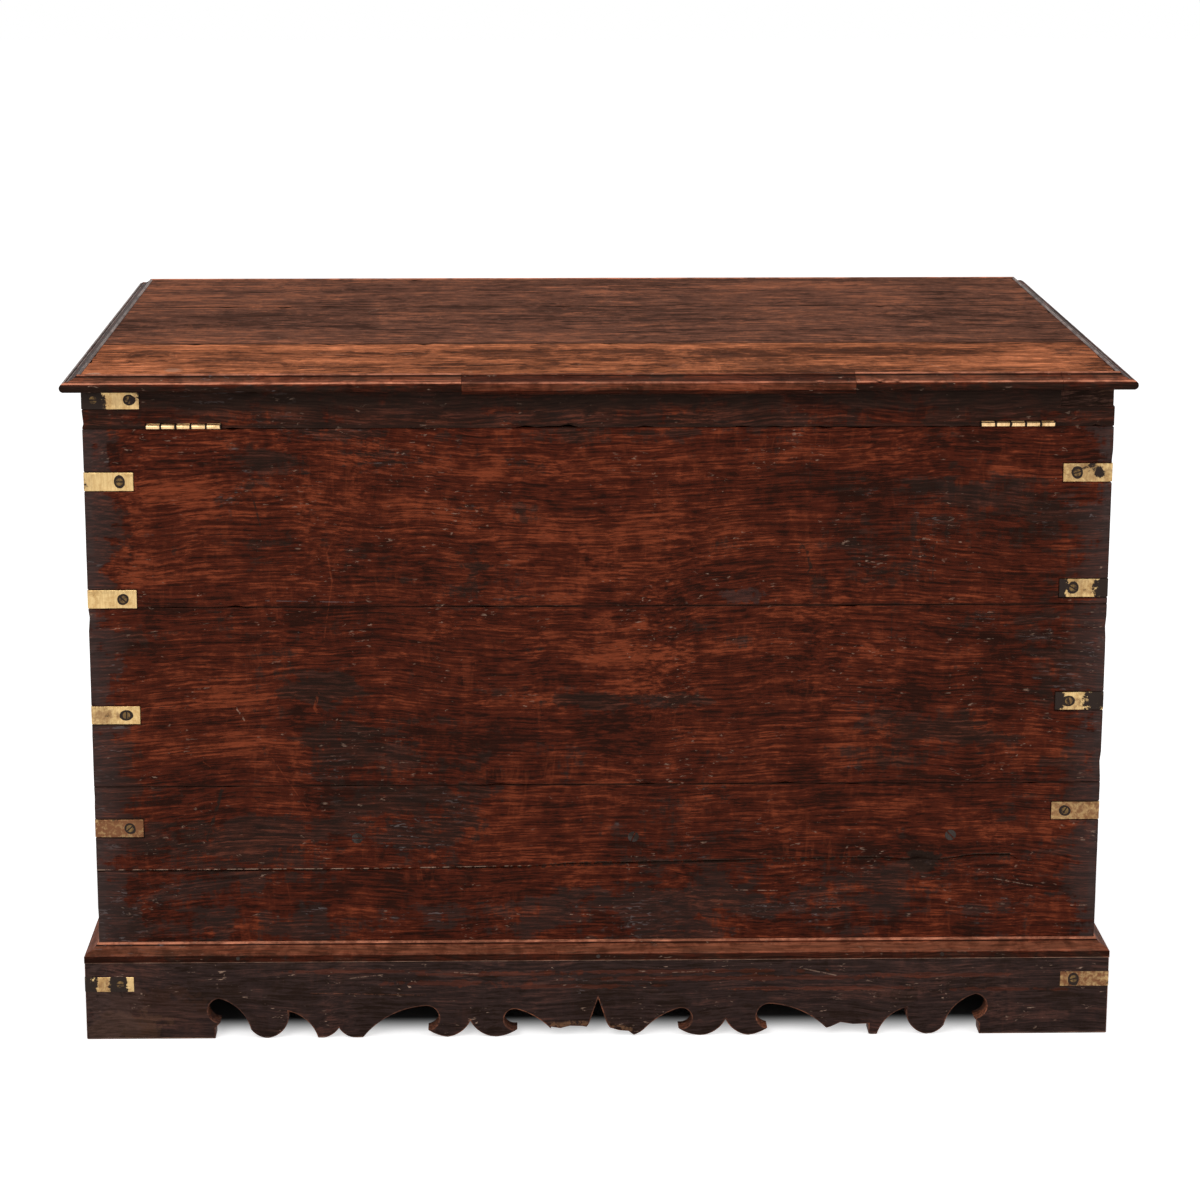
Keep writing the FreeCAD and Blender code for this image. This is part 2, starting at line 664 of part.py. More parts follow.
# Walls of three boards each. The back and front boards are rebated at both ends for the end boards.
courses = (("lower", "plinth_height", "lower_board_height"),
           ("middle", "(plinth_height + lower_board_height)", "middle_board_height"),
           ("upper", "(plinth_height + lower_board_height + middle_board_height)", "upper_board_height"))
outer, inner = "-%s / 2" % CASE_DEPTH, "-%s / 2" % INNER_DEPTH
half, shoulder, lip = "%s / 2" % CASE_LENGTH, "%s / 2" % INNER_LENGTH, "-%s / 2 + rebate_depth" % CASE_DEPTH
wall_plan = [("-" + half, outer), (half, outer), (half, lip), (shoulder, lip), (shoulder, inner),
             ("-" + shoulder, inner), ("-" + shoulder, lip), ("-" + half, lip)]
for course, base, height in courses:
    for side, angle in (("back", BACK), ("front", FRONT)):
        name = "%s_board_%s" % (side, course)
        blank = turned(padded_body(name + "_blank", wall_plan, height), angle)
        bind(blank, "Placement.Base.z", base)
        tools = [strap_blanks[side], carcass_holes, ledger_holes, nail_holes]
        if name == "front_board_upper":
            tools += [lock_pocket, keyhole]
        keep(name, cut(name, blank, *tools))
    for side, start in (("left", "-%s / 2" % CASE_LENGTH), ("right", "%s / 2" % INNER_LENGTH)):
        name = "%s_end_board_%s" % (side, course)
        blank = block(name + "_blank", (start, "-%s / 2 + rebate_depth" % CASE_DEPTH, base),
                      ("wall_thickness", CASE_DEPTH + " - 2 * rebate_depth", height))
        keep(name, cut(name, blank, strap_blanks["back"], strap_blanks["front"], carcass_holes, ledger_holes,
                       nail_holes, tang_holes))

# Floor boards on four ledgers.
ledger_blocks = []
for number, start in enumerate(("-%s / 2" % INNER_DEPTH, "%s / 2 - ledger_thickness" % INNER_DEPTH)):
    ledger_blocks.append(block("long_ledger_%d" % number, ("-%s / 2" % INNER_LENGTH, start, LEDGER_BASE),
                               (INNER_LENGTH, "ledger_thickness", "ledger_height")))
for number, start in enumerate(("-%s / 2" % INNER_LENGTH, "%s / 2 - ledger_thickness" % INNER_LENGTH)):
    ledger_blocks.append(block("end_ledger_%d" % number,
                               (start, "-%s / 2 + ledger_thickness" % INNER_DEPTH, LEDGER_BASE),
                               ("ledger_thickness", INNER_DEPTH + " - 2 * ledger_thickness", "ledger_height")))
keep("floor_ledgers", cut("floor_ledgers", group("ledger_blocks", ledger_blocks), ledger_holes))
for name, near, far in zip(("back", "middle", "front"), FLOOR_BOARD_SHARES, FLOOR_BOARD_SHARES[1:]):
    keep("floor_board_" + name,
         block("floor_%s_blank" % name,
               ("-%s / 2" % INNER_LENGTH, "(%s - %s) * %s" % (near, MIDDLE_SHARE, INNER_DEPTH),
                LEDGER_BASE + " + ledger_height"),
               (INNER_LENGTH, "(%s - %s) * %s" % (far, near, INNER_DEPTH), "floor_thickness")))


def plinth_edges(half_length, rows, reach):
    """The elevation of a plinth board: a plain top and ends, and the scallops mirrored about the middle."""
    def point(pair):
        return Vector(pair[0] * half_length, -reach, pair[1] * size("scallop_height"))
    scallops = path_edges(rows, point)
    edges = scallops + [edge.mirror(Vector(), Vector(1, 0, 0)) for edge in scallops]
    end, foot, top = half_length + size("overrun"), point(rows[0][0]).x, size("plinth_height")
    frame = [Vector(foot, -reach, 0), Vector(end, -reach, 0), Vector(end, -reach, top),
             Vector(-end, -reach, top), Vector(-end, -reach, 0), Vector(-foot, -reach, 0)]
    return edges + [Part.LineSegment(a, b).toShape() for a, b in zip(frame, frame[1:])]


def broken_off(name, shares):
    """What is missing from the back plinth board, as a tool that cuts through it."""
    start = -plinth_depth / 2 - size("overrun")
    points = [Vector(x * plinth_length / 2, start, z * size("scallop_height")) for x, z in shares]
    edges = [Part.LineSegment(a, b).toShape() for a, b in zip(points, points[1:] + points[:1])]
    return extruded(name, outline_face(name, edges), Vector(0, 1, 0), "plinth_thickness + 2 * overrun")


plinth_sides = (("back", BACK, PLINTH_LENGTH, PLINTH_DEPTH, plinth_length, plinth_depth, LONG_SCALLOP_SHARES),
                ("front", FRONT, PLINTH_LENGTH, PLINTH_DEPTH, plinth_length, plinth_depth, LONG_SCALLOP_SHARES),
                ("left", LEFT, PLINTH_DEPTH, PLINTH_LENGTH, plinth_depth, plinth_length, END_SCALLOP_SHARES),
                ("right", RIGHT, PLINTH_DEPTH, PLINTH_LENGTH, plinth_depth, plinth_length, END_SCALLOP_SHARES))
for side, angle, run, across, run_value, across_value, shares in plinth_sides:
    name = "plinth_board_" + side
    face = outline_face(name, plinth_edges(run_value / 2, shares, across_value / 2))
    blank = extruded(name, face, Vector(0, 1, 0), "plinth_thickness")
    mitres = mitre_block(name, run, across + " / 2", "plinth_thickness", "0", "plinth_height")
    board = turned(common(name, blank, mitres), angle)
    tools = [plinth_blanks, carcass_holes]
    if side == "back":
        tools.append(broken_off("broken_middle", BROKEN_MIDDLE_SHARES))
        tools.append(broken_off("broken_tip", BROKEN_TIP_SHARES))
    keep(name, cut(name, board, *tools))
    name = "plinth_moulding_" + side
    face = section_strip(name, PLINTH_SECTION_SHARES, run_value, size("plinth_proud"),
                         size("plinth_moulding_height"), across_value / 2 - size("plinth_proud"),
                         size("plinth_height"))
    blank = extruded(name, face, Vector(1, 0, 0), run + " + 2 * overrun")
    mitres = mitre_block(name, run, across + " / 2", "plinth_proud", "plinth_height",
                         "plinth_height + plinth_moulding_height")
    keep(name, cut(name, turned(common(name, blank, mitres), angle), nail_holes))

corner_blocks = []
for corner, across, along, angle in CORNERS:
    low = ["-%s / 2 + plinth_thickness" % PLINTH_LENGTH if across < 0
           else "%s / 2 - plinth_thickness - corner_block_width" % PLINTH_LENGTH,
           "-%s / 2 + plinth_thickness" % PLINTH_DEPTH if along < 0
           else "%s / 2 - plinth_thickness - corner_block_width" % PLINTH_DEPTH, "0"]
    corner_blocks.append(block("block_" + corner, low,
                               ("corner_block_width", "corner_block_width", "plinth_height")))
keep("plinth_corner_blocks", group("plinth_corner_blocks", corner_blocks))

# Lid: three boards on a frame of four rails, with two battens under them.
hinge_mortises = group("hinge_mortises", [
    block("mortise_" + side, (start + " - hinge_mortise_fit", "-%s / 2 - overrun" % CASE_DEPTH,
                              CASE_TOP + " - overrun"),
          ("hinge_length + 2 * hinge_mortise_fit", "hinge_leaf_width + hinge_mortise_fit + overrun",
           "2 * hinge_leaf_thickness + hinge_leaf_gap + overrun"))
    for side, start in (("left", "-%s / 2 + hinge_left_inset" % CASE_LENGTH),
                        ("right", "%s / 2 - hinge_right_inset - hinge_length" % CASE_LENGTH))])
link_pocket = block("link_pocket", ("-lock_case_length / 2", LOCK_MIDDLE_Y + " - link_plate_width / 2",
                                    CASE_TOP + " - overrun"),
                    ("lock_case_length", "link_plate_width", "link_plate_gap + link_plate_thickness + overrun"))
for side, start in (("back", "-%s / 2" % CASE_DEPTH), ("front", "%s / 2" % INNER_DEPTH)):
    name = "lid_rail_" + side
    blank = block(name + "_blank", ("-%s / 2" % CASE_LENGTH, start, CASE_TOP),
                  (CASE_LENGTH, "wall_thickness", "rail_height"))
    keep(name, cut(name, blank, lid_blanks, lid_holes, hinge_mortises if side == "back" else link_pocket))
for side, start in (("left", "-%s / 2" % CASE_LENGTH), ("right", "%s / 2" % INNER_LENGTH)):
    name = "lid_rail_" + side
    blank = block(name + "_blank", (start, "-%s / 2" % INNER_DEPTH, CASE_TOP),
                  ("wall_thickness", INNER_DEPTH, "rail_height"))
    keep(name, cut(name, blank, lid_blanks, lid_holes))
for name, near, far in zip(("back", "middle", "front"), LID_BOARD_SHARES, LID_BOARD_SHARES[1:]):
    name = "lid_board_" + name
    blank = block(name + "_blank",
                  ("-%s / 2" % CASE_LENGTH, "(%s - %s) * %s" % (near, MIDDLE_SHARE, CASE_DEPTH), RAIL_TOP),
                  (CASE_LENGTH, "(%s - %s) * %s" % (far, near, CASE_DEPTH), "lid_board_thickness"))
    keep(name, cut(name, blank, lid_holes))
battens = [block("batten_%d" % number,
                 (middle + " - batten_width / 2", "-%s / 2 + batten_end_gap" % INNER_DEPTH,
                  RAIL_TOP + " - batten_thickness"),
                 ("batten_width", INNER_DEPTH + " - 2 * batten_end_gap", "batten_thickness"))
           for number, middle in enumerate(("-batten_spacing / 2", "batten_spacing / 2"))]
keep("lid_battens", cut("lid_battens", group("batten_blocks", battens), lid_holes))


def lid_moulding(name, angle, run, across):
    """One side's length of lid moulding, mitred at both ends."""
    reach = size(across) / 2 - size("lid_overhang")
    face = section_strip(name, LID_SECTION_SHARES, size(run), size("lid_overhang"),
                         size("lid_moulding_height"), reach, rail_top)
    blank = extruded(name, face, Vector(1, 0, 0), run + " + 2 * overrun")
    mitres = mitre_block(name, run, across + " / 2", "lid_overhang", RAIL_TOP,
                         RAIL_TOP + " + lid_moulding_height")
    return turned(common(name, blank, mitres), angle)


for side, angle, run, across in (("front", FRONT, "lid_length", "lid_depth"),
                                 ("left", LEFT, "lid_depth", "lid_length"),
                                 ("right", RIGHT, "lid_depth", "lid_length")):
    name = "lid_moulding_" + side
    keep(name, lid_moulding(name, angle, run, across))
back_moulding = lid_moulding("lid_moulding_back", BACK, "lid_length", "lid_depth")
joints = [-1] + list(MOULDING_JOINT_SHARES) + [1]
lengths = []
for number, (near, far) in enumerate(zip(joints, joints[1:])):
    slab = block("moulding_slab_%d" % number,
                 ("%s * lid_length / 2" % near, "-lid_depth / 2 - overrun", RAIL_TOP + " - overrun"),
                 ("(%s - %s) * lid_length / 2" % (far, near), "lid_overhang + 2 * overrun",
                  "lid_moulding_height + 2 * overrun"))
    lengths.append(common("moulding_length_%d" % number, back_moulding, slab))
near, far = MOULDING_JOINT_SHARES[:2]
patch_width = "lid_overhang * %s" % LID_SECTION_SHARES[1][0][0]
patch_lip = block("patch_lip", ("%s * lid_length / 2" % near, "-%s / 2 - %s" % (CASE_DEPTH, patch_width),
                                RAIL_TOP + " - patch_drop"),
                  ("(%s - %s) * lid_length / 2" % (far, near), patch_width, "patch_drop"))
keep("lid_moulding_back_left", lengths[0])
keep("lid_moulding_back_patch", fuse("lid_moulding_back_patch", [lengths[1], patch_lip]))
keep("lid_moulding_back_right", group("lid_moulding_back_right", lengths[2:]))

# Butt hinges: two leaves with alternate knuckles on one pin.
pins = []
for side, start in (("left", "(-%s / 2 + hinge_left_inset)" % CASE_LENGTH),
                    ("right", "(%s / 2 - hinge_right_inset - hinge_length)" % CASE_LENGTH)):
    bore = rod("hinge_bore_" + side, (start + " - overrun", HINGE_Y, HINGE_Z), "hinge_pin_radius + running_fit",
               "hinge_length + 2 * overrun", "x")
    pins.append(rod("hinge_pin_" + side, (start, HINGE_Y, HINGE_Z), "hinge_pin_radius", "hinge_length", "x"))
    lid_base = CASE_TOP + " + hinge_leaf_thickness + hinge_leaf_gap"
    for owner, first, base, holes in (("carcass", 0, CASE_TOP, carcass_holes), ("lid", 1, lid_base, lid_holes)):
        name = "hinge_%s_%s_leaf" % (side, owner)
        gap = "knuckle_radius + knuckle_clearance"
        width = "hinge_leaf_width + hinge_axis_out - (%s)" % gap
        pieces = [block(name + "_plate", (start, "%s + %s" % (HINGE_Y, gap), base),
                        ("hinge_length", width, "hinge_leaf_thickness"))]
        for number in range(first, KNUCKLES, 2):
            from_x = "%s + %d * hinge_length / %d + knuckle_gap / 2" % (start, number, KNUCKLES)
            length = "hinge_length / %d - knuckle_gap" % KNUCKLES
            pieces.append(rod("%s_knuckle_%d" % (name, number), (from_x, HINGE_Y, HINGE_Z), "knuckle_radius",
                              length, "x"))
            pieces.append(block("%s_web_%d" % (name, number), (from_x, HINGE_Y, base),
                                (length, gap, "hinge_leaf_thickness")))
        keep(name, cut(name, fuse(name, pieces), bore, holes))
keep("hinge_pins", group("hinge_pins", pins))

# Lock: a hollow case let into the front wall, a bolt that slides in it, and a plate with two loops on the lid.
case_body = block("lock_body", ("-lock_case_length / 2", LOCK_Y, CASE_TOP + " - lock_case_height"),
                  ("lock_case_length", "lock_case_thickness", "lock_case_height"))
case_plate = block("lock_plate", ("-lock_case_length / 2 - lock_plate_margin", LOCK_Y + " - lock_wall",
                                  CASE_TOP + " - lock_case_height - lock_plate_margin"),
                   ("lock_case_length + 2 * lock_plate_margin", "lock_wall",
                    "lock_case_height + lock_plate_margin"))
hollow = block("lock_hollow", ("-lock_case_length / 2 + lock_wall", LOCK_Y,
                               CASE_TOP + " - lock_case_height + lock_wall"),
               ("lock_case_length - 2 * lock_wall", "lock_case_thickness - lock_wall",
                "lock_case_height - 2 * lock_wall"))
loop_slots, loops, loop_holes, fingers, arms = [], [], [], [], []
for number, middle in enumerate(("-loop_spacing / 2", "loop_spacing / 2")):
    loop_slots.append(block("loop_slot_%d" % number,
                            (middle + " - loop_thickness / 2 - loop_clearance",
                             LOCK_MIDDLE_Y + " - loop_width / 2 - loop_clearance",
                             CASE_TOP + " - lock_wall - overrun"),
                            ("loop_thickness + 2 * loop_clearance", "loop_width + 2 * loop_clearance",
                             "lock_wall + 2 * overrun")))
    loops.append(block("loop_%d" % number,
                       (middle + " - loop_thickness / 2", LOCK_MIDDLE_Y + " - loop_width / 2",
                        CASE_TOP + " + link_plate_gap - loop_length"),
                       ("loop_thickness", "loop_width", "loop_length")))
    loop_holes.append(block("loop_hole_%d" % number,
                            (middle + " - loop_thickness / 2 - overrun",
                             LOCK_MIDDLE_Y + " - loop_hole_width / 2", FINGER_Z + " - loop_hole_height / 2"),
                            ("loop_thickness + 2 * overrun", "loop_hole_width", "loop_hole_height")))
    tip = "(%s - loop_thickness / 2 - bolt_tip_gap)" % middle
    fingers.append(block("bolt_finger_%d" % number,
                         (tip + " - bolt_finger_length", LOCK_MIDDLE_Y + " - bolt_finger_thickness / 2",
                          FINGER_Z + " - bolt_finger_height / 2"),
                         ("bolt_finger_length", "bolt_finger_thickness", "bolt_finger_height")))
    arms.append(block("bolt_arm_%d" % number,
                      (tip + " - bolt_finger_length - bolt_arm_width",
                       LOCK_MIDDLE_Y + " - bolt_finger_thickness / 2", CASE_TOP + " - bolt_bar_drop"),
                      ("bolt_arm_width", "bolt_finger_thickness",
                       "bolt_bar_drop - bolt_finger_drop + bolt_finger_height / 2")))
keep("lock_case", cut("lock_case", fuse("lock_shell", [case_body, case_plate]), hollow, *loop_slots, keyhole,
                      carcass_holes))
bar_start = "-loop_spacing / 2 - loop_thickness / 2 - bolt_tip_gap - bolt_finger_length - bolt_arm_width"
bar_base = CASE_TOP + " - bolt_bar_drop - bolt_bar_height / 2"
bar = block("bolt_bar", (bar_start, LOCK_Y + " + lock_fit", bar_base),
            ("bolt_length", "lock_case_thickness - lock_wall - 2 * lock_fit", "bolt_bar_height"))
keep("lock_bolt", fuse("lock_bolt", [bar] + fingers + arms))
link_plate = block("link_plate", ("-lock_case_length / 2", LOCK_MIDDLE_Y + " - link_plate_width / 2",
                                  CASE_TOP + " + link_plate_gap"),
                   ("lock_case_length", "link_plate_width", "link_plate_thickness"))
keep("lock_link_plate", cut("lock_link_plate", fuse("link", [link_plate] + loops), *loop_holes, lid_holes))
disc = rod("keyhole_disc",
           ("0", "%s / 2" % CASE_DEPTH, CASE_TOP + " - keyhole_drop - keyhole_slot_length / 2"),
           "key_plate_radius", "key_plate_thickness", "y")
keep("keyhole_plate", cut("keyhole_plate", disc, keyhole))


def bail_path(name):
    """The middle line of a hanging bail: two stubs through the mounts, two bends each side and the grip."""
    x = case_length / 2 + size("bail_axis_out")
    side, drop = size("bail_span") / 2, size("bail_drop")
    eye, bend = size("bail_eye_bend"), size("bail_bend")
    stub = post_y - size("post_radius") - size("bail_end_length")
    diagonal = 1 - math.sqrt(1 / 2)
    rows = (((stub, 0),), ((side - eye, 0),),
            ((side - eye * diagonal, -eye * diagonal), (side, -eye)),
            ((side, bend - drop),),
            ((side - bend * diagonal, bend * diagonal - drop), (side - bend, -drop)),
            ((0, -drop),))
    half_path = path_edges(rows, lambda pair: Vector(x, pair[0], handle_z + pair[1]))
    feature = doc.addObject("Part::Feature", name + "_path")
    edges = half_path + [edge.mirror(Vector(), Vector(0, 1, 0)) for edge in half_path]
    feature.Shape = Part.Wire(Part.__sortEdges__(edges))
    return feature


# A bail and its two mounts on each end. The mounts' tangs pass through the wall and are riveted over inside.
mounts = []
for side, angle in (("right", 0), ("left", FRONT)):
    name = side + "_handle_bail"
    path = bail_path(name)
    ring = doc.addObject("Part::Circle", name + "_section")
    bind(ring, "Radius", "bail_radius")
    doc.recompute()
    start = path.Shape.OrderedVertexes[0].Point
    ring.Placement = FreeCAD.Placement(start, FreeCAD.Rotation(Vector(1, 0, 0), QUARTER_TURN))
    bail = doc.addObject("Part::Sweep", name + "_sweep")
    bail.Sections = [ring]
    bail.Spine = (path, ["Edge%d" % (number + 1) for number in range(len(path.Shape.Edges))])
    bail.Solid = True
    keep(name, turned(bail, angle))
    for number, y in enumerate(("-" + POST_Y, POST_Y)):
        label = "%s_mount_%d" % (side, number)
        face = "%s / 2" % CASE_LENGTH
        rosette = doc.addObject("Part::Cone", label + "_rosette")
        bind(rosette, "Radius1", "rosette_radius")
        bind(rosette, "Radius2", "rosette_top_radius")
        bind(rosette, "Height", "rosette_thickness")
        rosette.Placement = FreeCAD.Placement(Vector(), FreeCAD.Rotation(Vector(0, 1, 0), QUARTER_TURN))
        place(rosette, (face, y, HANDLE_Z))
        post = rod(label + "_post", (face, y, HANDLE_Z), "post_radius", "bail_axis_out + post_radius", "x")
        tang = rod(label + "_tang", (face + " - wall_thickness", y, HANDLE_Z), "tang_radius", "wall_thickness",
                   "x")
        rivet = rod(label + "_rivet", (face + " - wall_thickness - rivet_height", y, HANDLE_Z), "rivet_radius",
                    "rivet_height", "x")
        eye = rod(label + "_eye", (face + " + bail_axis_out", y + " - post_radius - overrun", HANDLE_Z),
                  "bail_radius + running_fit", "2 * post_radius + 2 * overrun", "y")
        mounts.append(turned(cut(label, fuse(label, [rosette, post, tang, rivet]), eye), angle))
keep("handle_mounts", group("handle_mounts", mounts))

doc.recompute()
for thing in doc.Objects:
    if "Invalid" in thing.State or "Error" in thing.State:
        raise ValueError("%s was not made: %s" % (thing.Label, thing.State))
os.makedirs("parts", exist_ok=True)
for name, thing in nodes.items():
    if thing.Shape.isNull() or not thing.Shape.isValid() or not thing.Shape.Solids:
        raise ValueError("%s has no sound solid" % name)
    thing.Shape.exportStep("parts/%s.step" % name)
print(len(nodes), "nodes,", sum(len(thing.Shape.Solids) for thing in nodes.values()), "solids")
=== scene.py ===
import bmesh
import bpy
import math
from mathutils import Euler, Matrix, Vector, geometry, noise


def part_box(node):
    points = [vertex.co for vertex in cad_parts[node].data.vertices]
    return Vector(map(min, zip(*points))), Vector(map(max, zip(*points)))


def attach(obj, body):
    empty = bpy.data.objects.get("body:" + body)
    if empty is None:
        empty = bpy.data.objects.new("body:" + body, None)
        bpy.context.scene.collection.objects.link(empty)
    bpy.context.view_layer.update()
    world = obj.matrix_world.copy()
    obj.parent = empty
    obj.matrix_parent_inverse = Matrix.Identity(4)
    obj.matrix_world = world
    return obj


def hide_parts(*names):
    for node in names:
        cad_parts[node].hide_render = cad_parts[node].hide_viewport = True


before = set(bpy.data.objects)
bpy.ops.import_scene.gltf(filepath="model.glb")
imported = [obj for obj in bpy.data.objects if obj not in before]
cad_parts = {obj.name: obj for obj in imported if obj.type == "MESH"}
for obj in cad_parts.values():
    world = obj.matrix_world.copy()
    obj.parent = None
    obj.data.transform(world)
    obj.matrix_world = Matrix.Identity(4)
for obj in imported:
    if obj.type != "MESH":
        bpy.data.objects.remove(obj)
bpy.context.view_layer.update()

bl_info = {
    "name": "Brass-bound Teak Chest",
    "version": (1, 0, 0),
    "blender": (4, 5, 0),
    "location": "3D View > Sidebar > Chest",
    "description": "Gives a jointed chest its worn teak boards, mouldings and brass",
    "category": "Object",
}

# Lengths in metres. The chest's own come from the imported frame.
MM = 0.001
CASE_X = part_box("back_board_lower")[1].x
CASE_Y = -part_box("back_board_lower")[0].y
INNER_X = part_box("floor_board_back")[1].x
INNER_Y = -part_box("back_board_lower")[1].y
CASE_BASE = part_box("back_board_lower")[0].z
CASE_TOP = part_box("back_board_upper")[1].z
RAIL_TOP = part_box("lid_rail_back")[1].z
PLINTH_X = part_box("plinth_board_back")[1].x
PLINTH_Y = -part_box("plinth_board_back")[0].y
PLINTH_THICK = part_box("plinth_board_back")[1].y + PLINTH_Y
REBATE = (CASE_Y - INNER_Y) / 2
MITRED = None
BACK, RIGHT, FRONT, LEFT = 0, 90, 180, 270
CORNERS = ((-1, -1, BACK), (1, -1, RIGHT), (1, 1, FRONT), (-1, 1, LEFT))

# Straps: heights of their middles as shares of the walls' height, then legs, heights and thickness.
LEFT_STRAP_SHARES = (0.904, 0.687, 0.469, 0.253)
RIGHT_STRAP_SHARES = (0.915, 0.701, 0.488, 0.278)
STRAP_LEG, STRAP_HEIGHT = 50 * MM, 19 * MM
PLINTH_STRAP_LEG, PLINTH_STRAP_HEIGHT, PLINTH_STRAP_Z = 51 * MM, 16 * MM, 61 * MM
LID_STRAP_LEG, LID_STRAP_HEIGHT, LID_STRAP_DROP = 58 * MM, 19 * MM, 10 * MM
STRAP_PROUD, STRAP_SUNK = 0.3 * MM, 1.3 * MM

# Joints of the back lid moulding, from its left end to its right.
JOINTS = (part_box("lid_moulding_back_patch")[0].x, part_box("lid_moulding_back_patch")[1].x, 464.4 * MM)

# Sections of the mouldings in millimetres: out from the wall and up from the lower edge.
LID_SECTION = (
    (0, 0), (14.1, 0), (15.9, 0.35), (17.5, 1.5), (18.6, 3.2), (19, 5.4), (18.6, 7.4), (17.4, 9),
    (15.6, 10.1),
    (14.9, 9.9), (14.6, 9.5), (14.35, 10.3), (14, 11), (13.5, 11.2), (13, 10.9), (12.8, 10.3), (12.4, 9.9),
    (11.6, 10.4), (9.5, 11.3), (7.4, 12.5), (5.6, 13.8), (4.6, 14.8), (4.3, 14.2), (4, 14.1), (3.6, 15.4),
    (3.2, 16.4), (2.4, 16.95), (1.4, 16.8), (0.6, 16.2), (0, 15.6))
PATCH_SECTION = (
    (0, -3), (14, -3), (16.2, -2.2), (17.8, -0.4), (18.8, 2.4), (19, 5.2), (18.4, 7.6), (16.8, 9.4),
    (15.2, 9.9), (14.7, 9.4), (14.2, 9.9), (12.6, 10.3), (9.5, 11.4), (7.2, 12.6), (5.4, 13.9), (4.6, 14.6),
    (4.3, 14.1), (3.9, 14.2), (3.4, 15.6), (2.6, 16.2), (1.4, 16.2), (0.5, 15.6), (0, 15))
PLINTH_SECTION = (
    (0, 0), (13.6, 0), (14, 0.5), (14, 7.4), (13.7, 8), (12.9, 8.3), (12.5, 8.1), (12.3, 8.9), (11.6, 10),
    (10.3, 11), (8.6, 11.8), (7, 12.5), (5.4, 13.3), (3.9, 14.4), (2.8, 15.7), (2.1, 17), (1.7, 17.5),
    (1.7, 18.3), (1.4, 18.5), (0, 18.5))

# Half of a scalloped edge: shares of half the board's length and of the scallops' height, foot to middle.
# A row is an end point, or the middle and end points of an arc.
SCALLOP_HEIGHT = 44.5 * MM
LONG_SCALLOPS = (
    ((0.748, 0),), ((0.748, 0.27),), ((0.738, 0.4),), ((0.762, 0.68), (0.74, 1)),
    ((0.705, 0.76), (0.679, 0.22)), ((0.664, 0.06), (0.645, 0)), ((0.617, 0.18), (0.605, 0.67)),
    ((0.572, 0.46), (0.548, 0)), ((0.537, 0),),
    ((0.519, 0.09), (0.507, 0.24)), ((0.496, 0.09), (0.479, 0)), ((0.46, 0),), ((0.409, 0.53), (0.341, 0.78)),
    ((0.311, 0.5), (0.333, 0.18)), ((0.314, 0.06), (0.295, 0)), ((0.267, 0.14), (0.25, 0.4)),
    ((0.23, 0.12), (0.2, 0)), ((0.177, 0.06), (0.157, 0.19)), ((0.184, 0.44), (0.16, 0.69)),
    ((0.124, 0.5), (0.094, 0.21)), ((0.078, 0.06), (0.06, 0)), ((0.032, 0.11), (0.015, 0.4)), ((0, 0.95),))
END_SCALLOPS = (
    ((0.65, 0),), ((0.65, 0.27),), ((0.634, 0.4),), ((0.671, 0.68), (0.637, 1)),
    ((0.58, 0.76), (0.537, 0.22)), ((0.511, 0.06), (0.48, 0)), ((0.438, 0.2), (0.414, 0.67)),
    ((0.374, 0.4), (0.329, 0)),
    ((0.294, 0.08), (0.258, 0.19)), ((0.296, 0.44), (0.263, 0.69)), ((0.204, 0.5), (0.154, 0.21)),
    ((0.128, 0.06), (0.098, 0)), ((0.053, 0.11), (0.025, 0.4)), ((0, 0.95),))
BROKEN_MIDDLE = ((-0.092, -0.1), (-0.092, 0.24), (-0.074, 0.2), (-0.055, 0.26), (-0.03, 0.25), (-0.008, 0.19),
                 (0.02, 0.22), (0.041, 0.14), (0.06, 0.12), (0.082, -0.1))
BROKEN_TIP = ((0.424, -0.1), (0.424, 0.11), (0.438, 0.13), (0.457, 0.2), (0.476, 0.31), (0.5, 0.26),
              (0.531, 0.27), (0.531, -0.1))

# The long crack in the lower back board, from left to right, and its knot-hole.
CRACK = ((-0.521, 0.1802), (-0.244, 0.1802), (-0.07, 0.1823), (-0.034, 0.1854), (0.043, 0.1865),
         (0.29, 0.1907), (0.322, 0.188), (0.351, 0.187), (0.392, 0.1928), (0.43, 0.193))
CRACK_LINE = 0.187
KNOT_HOLE, KNOT_REACH = Vector((0.3365, -CASE_Y, 0.1875)), Vector((0.0155, 1, 0.0078))

# The torn bed of the strap that is lost from the lid's back right corner.
TORN_START, TORN_LOW = 0.466, 0.6695

# The lock's bed and the keyhole, as boxes cut out of the upper front board.
LOCK_BED = (Vector((-40.3 * MM, INNER_Y - 3 * MM, 593.7 * MM)), Vector((40.3 * MM, 302 * MM, 1)))
KEYHOLE = (Vector((-3 * MM, 300 * MM, 608.5 * MM)), Vector((3 * MM, 1, 620.5 * MM)))

# Angles in degrees: from which an edge is shaded sharp, and from which edges of wood and of metal are eased.
SHARP_ANGLE, WOOD_ANGLE, METAL_ANGLE = 38, 35, 28

# Camera: focal length and sensor in millimetres, shift as shares of the frame, angles in degrees.
CAMERA_LENS, CAMERA_SENSOR, CAMERA_SHIFT = 87.96, 36, (0.04, -0.14)
CAMERA_PLACE, CAMERA_PITCH, CAMERA_YAW = (-0.095, -3.206, 1.247), 11.75, 0.93
LAMP_TARGET = Vector((0, 0, 0.35))

# How far inside the plinth's outline the open floor's tone fades into the shadow painted under the chest, and
# the floor's colours: its clouds and that painted shadow.
FLOOR_FADE = -0.055
FLOOR_CLOUD, FLOOR_PAINTED_SHADOW = (0.78, 0.78, 0.78, 1), (0.2, 0.2, 0.2, 1)

# In millimetres: the middles of the hinges, the height of their pins and a knuckle's length.
HINGE_PLACES, HINGE_HEIGHT, KNUCKLE = (-419, 423), 651.6, 15.2


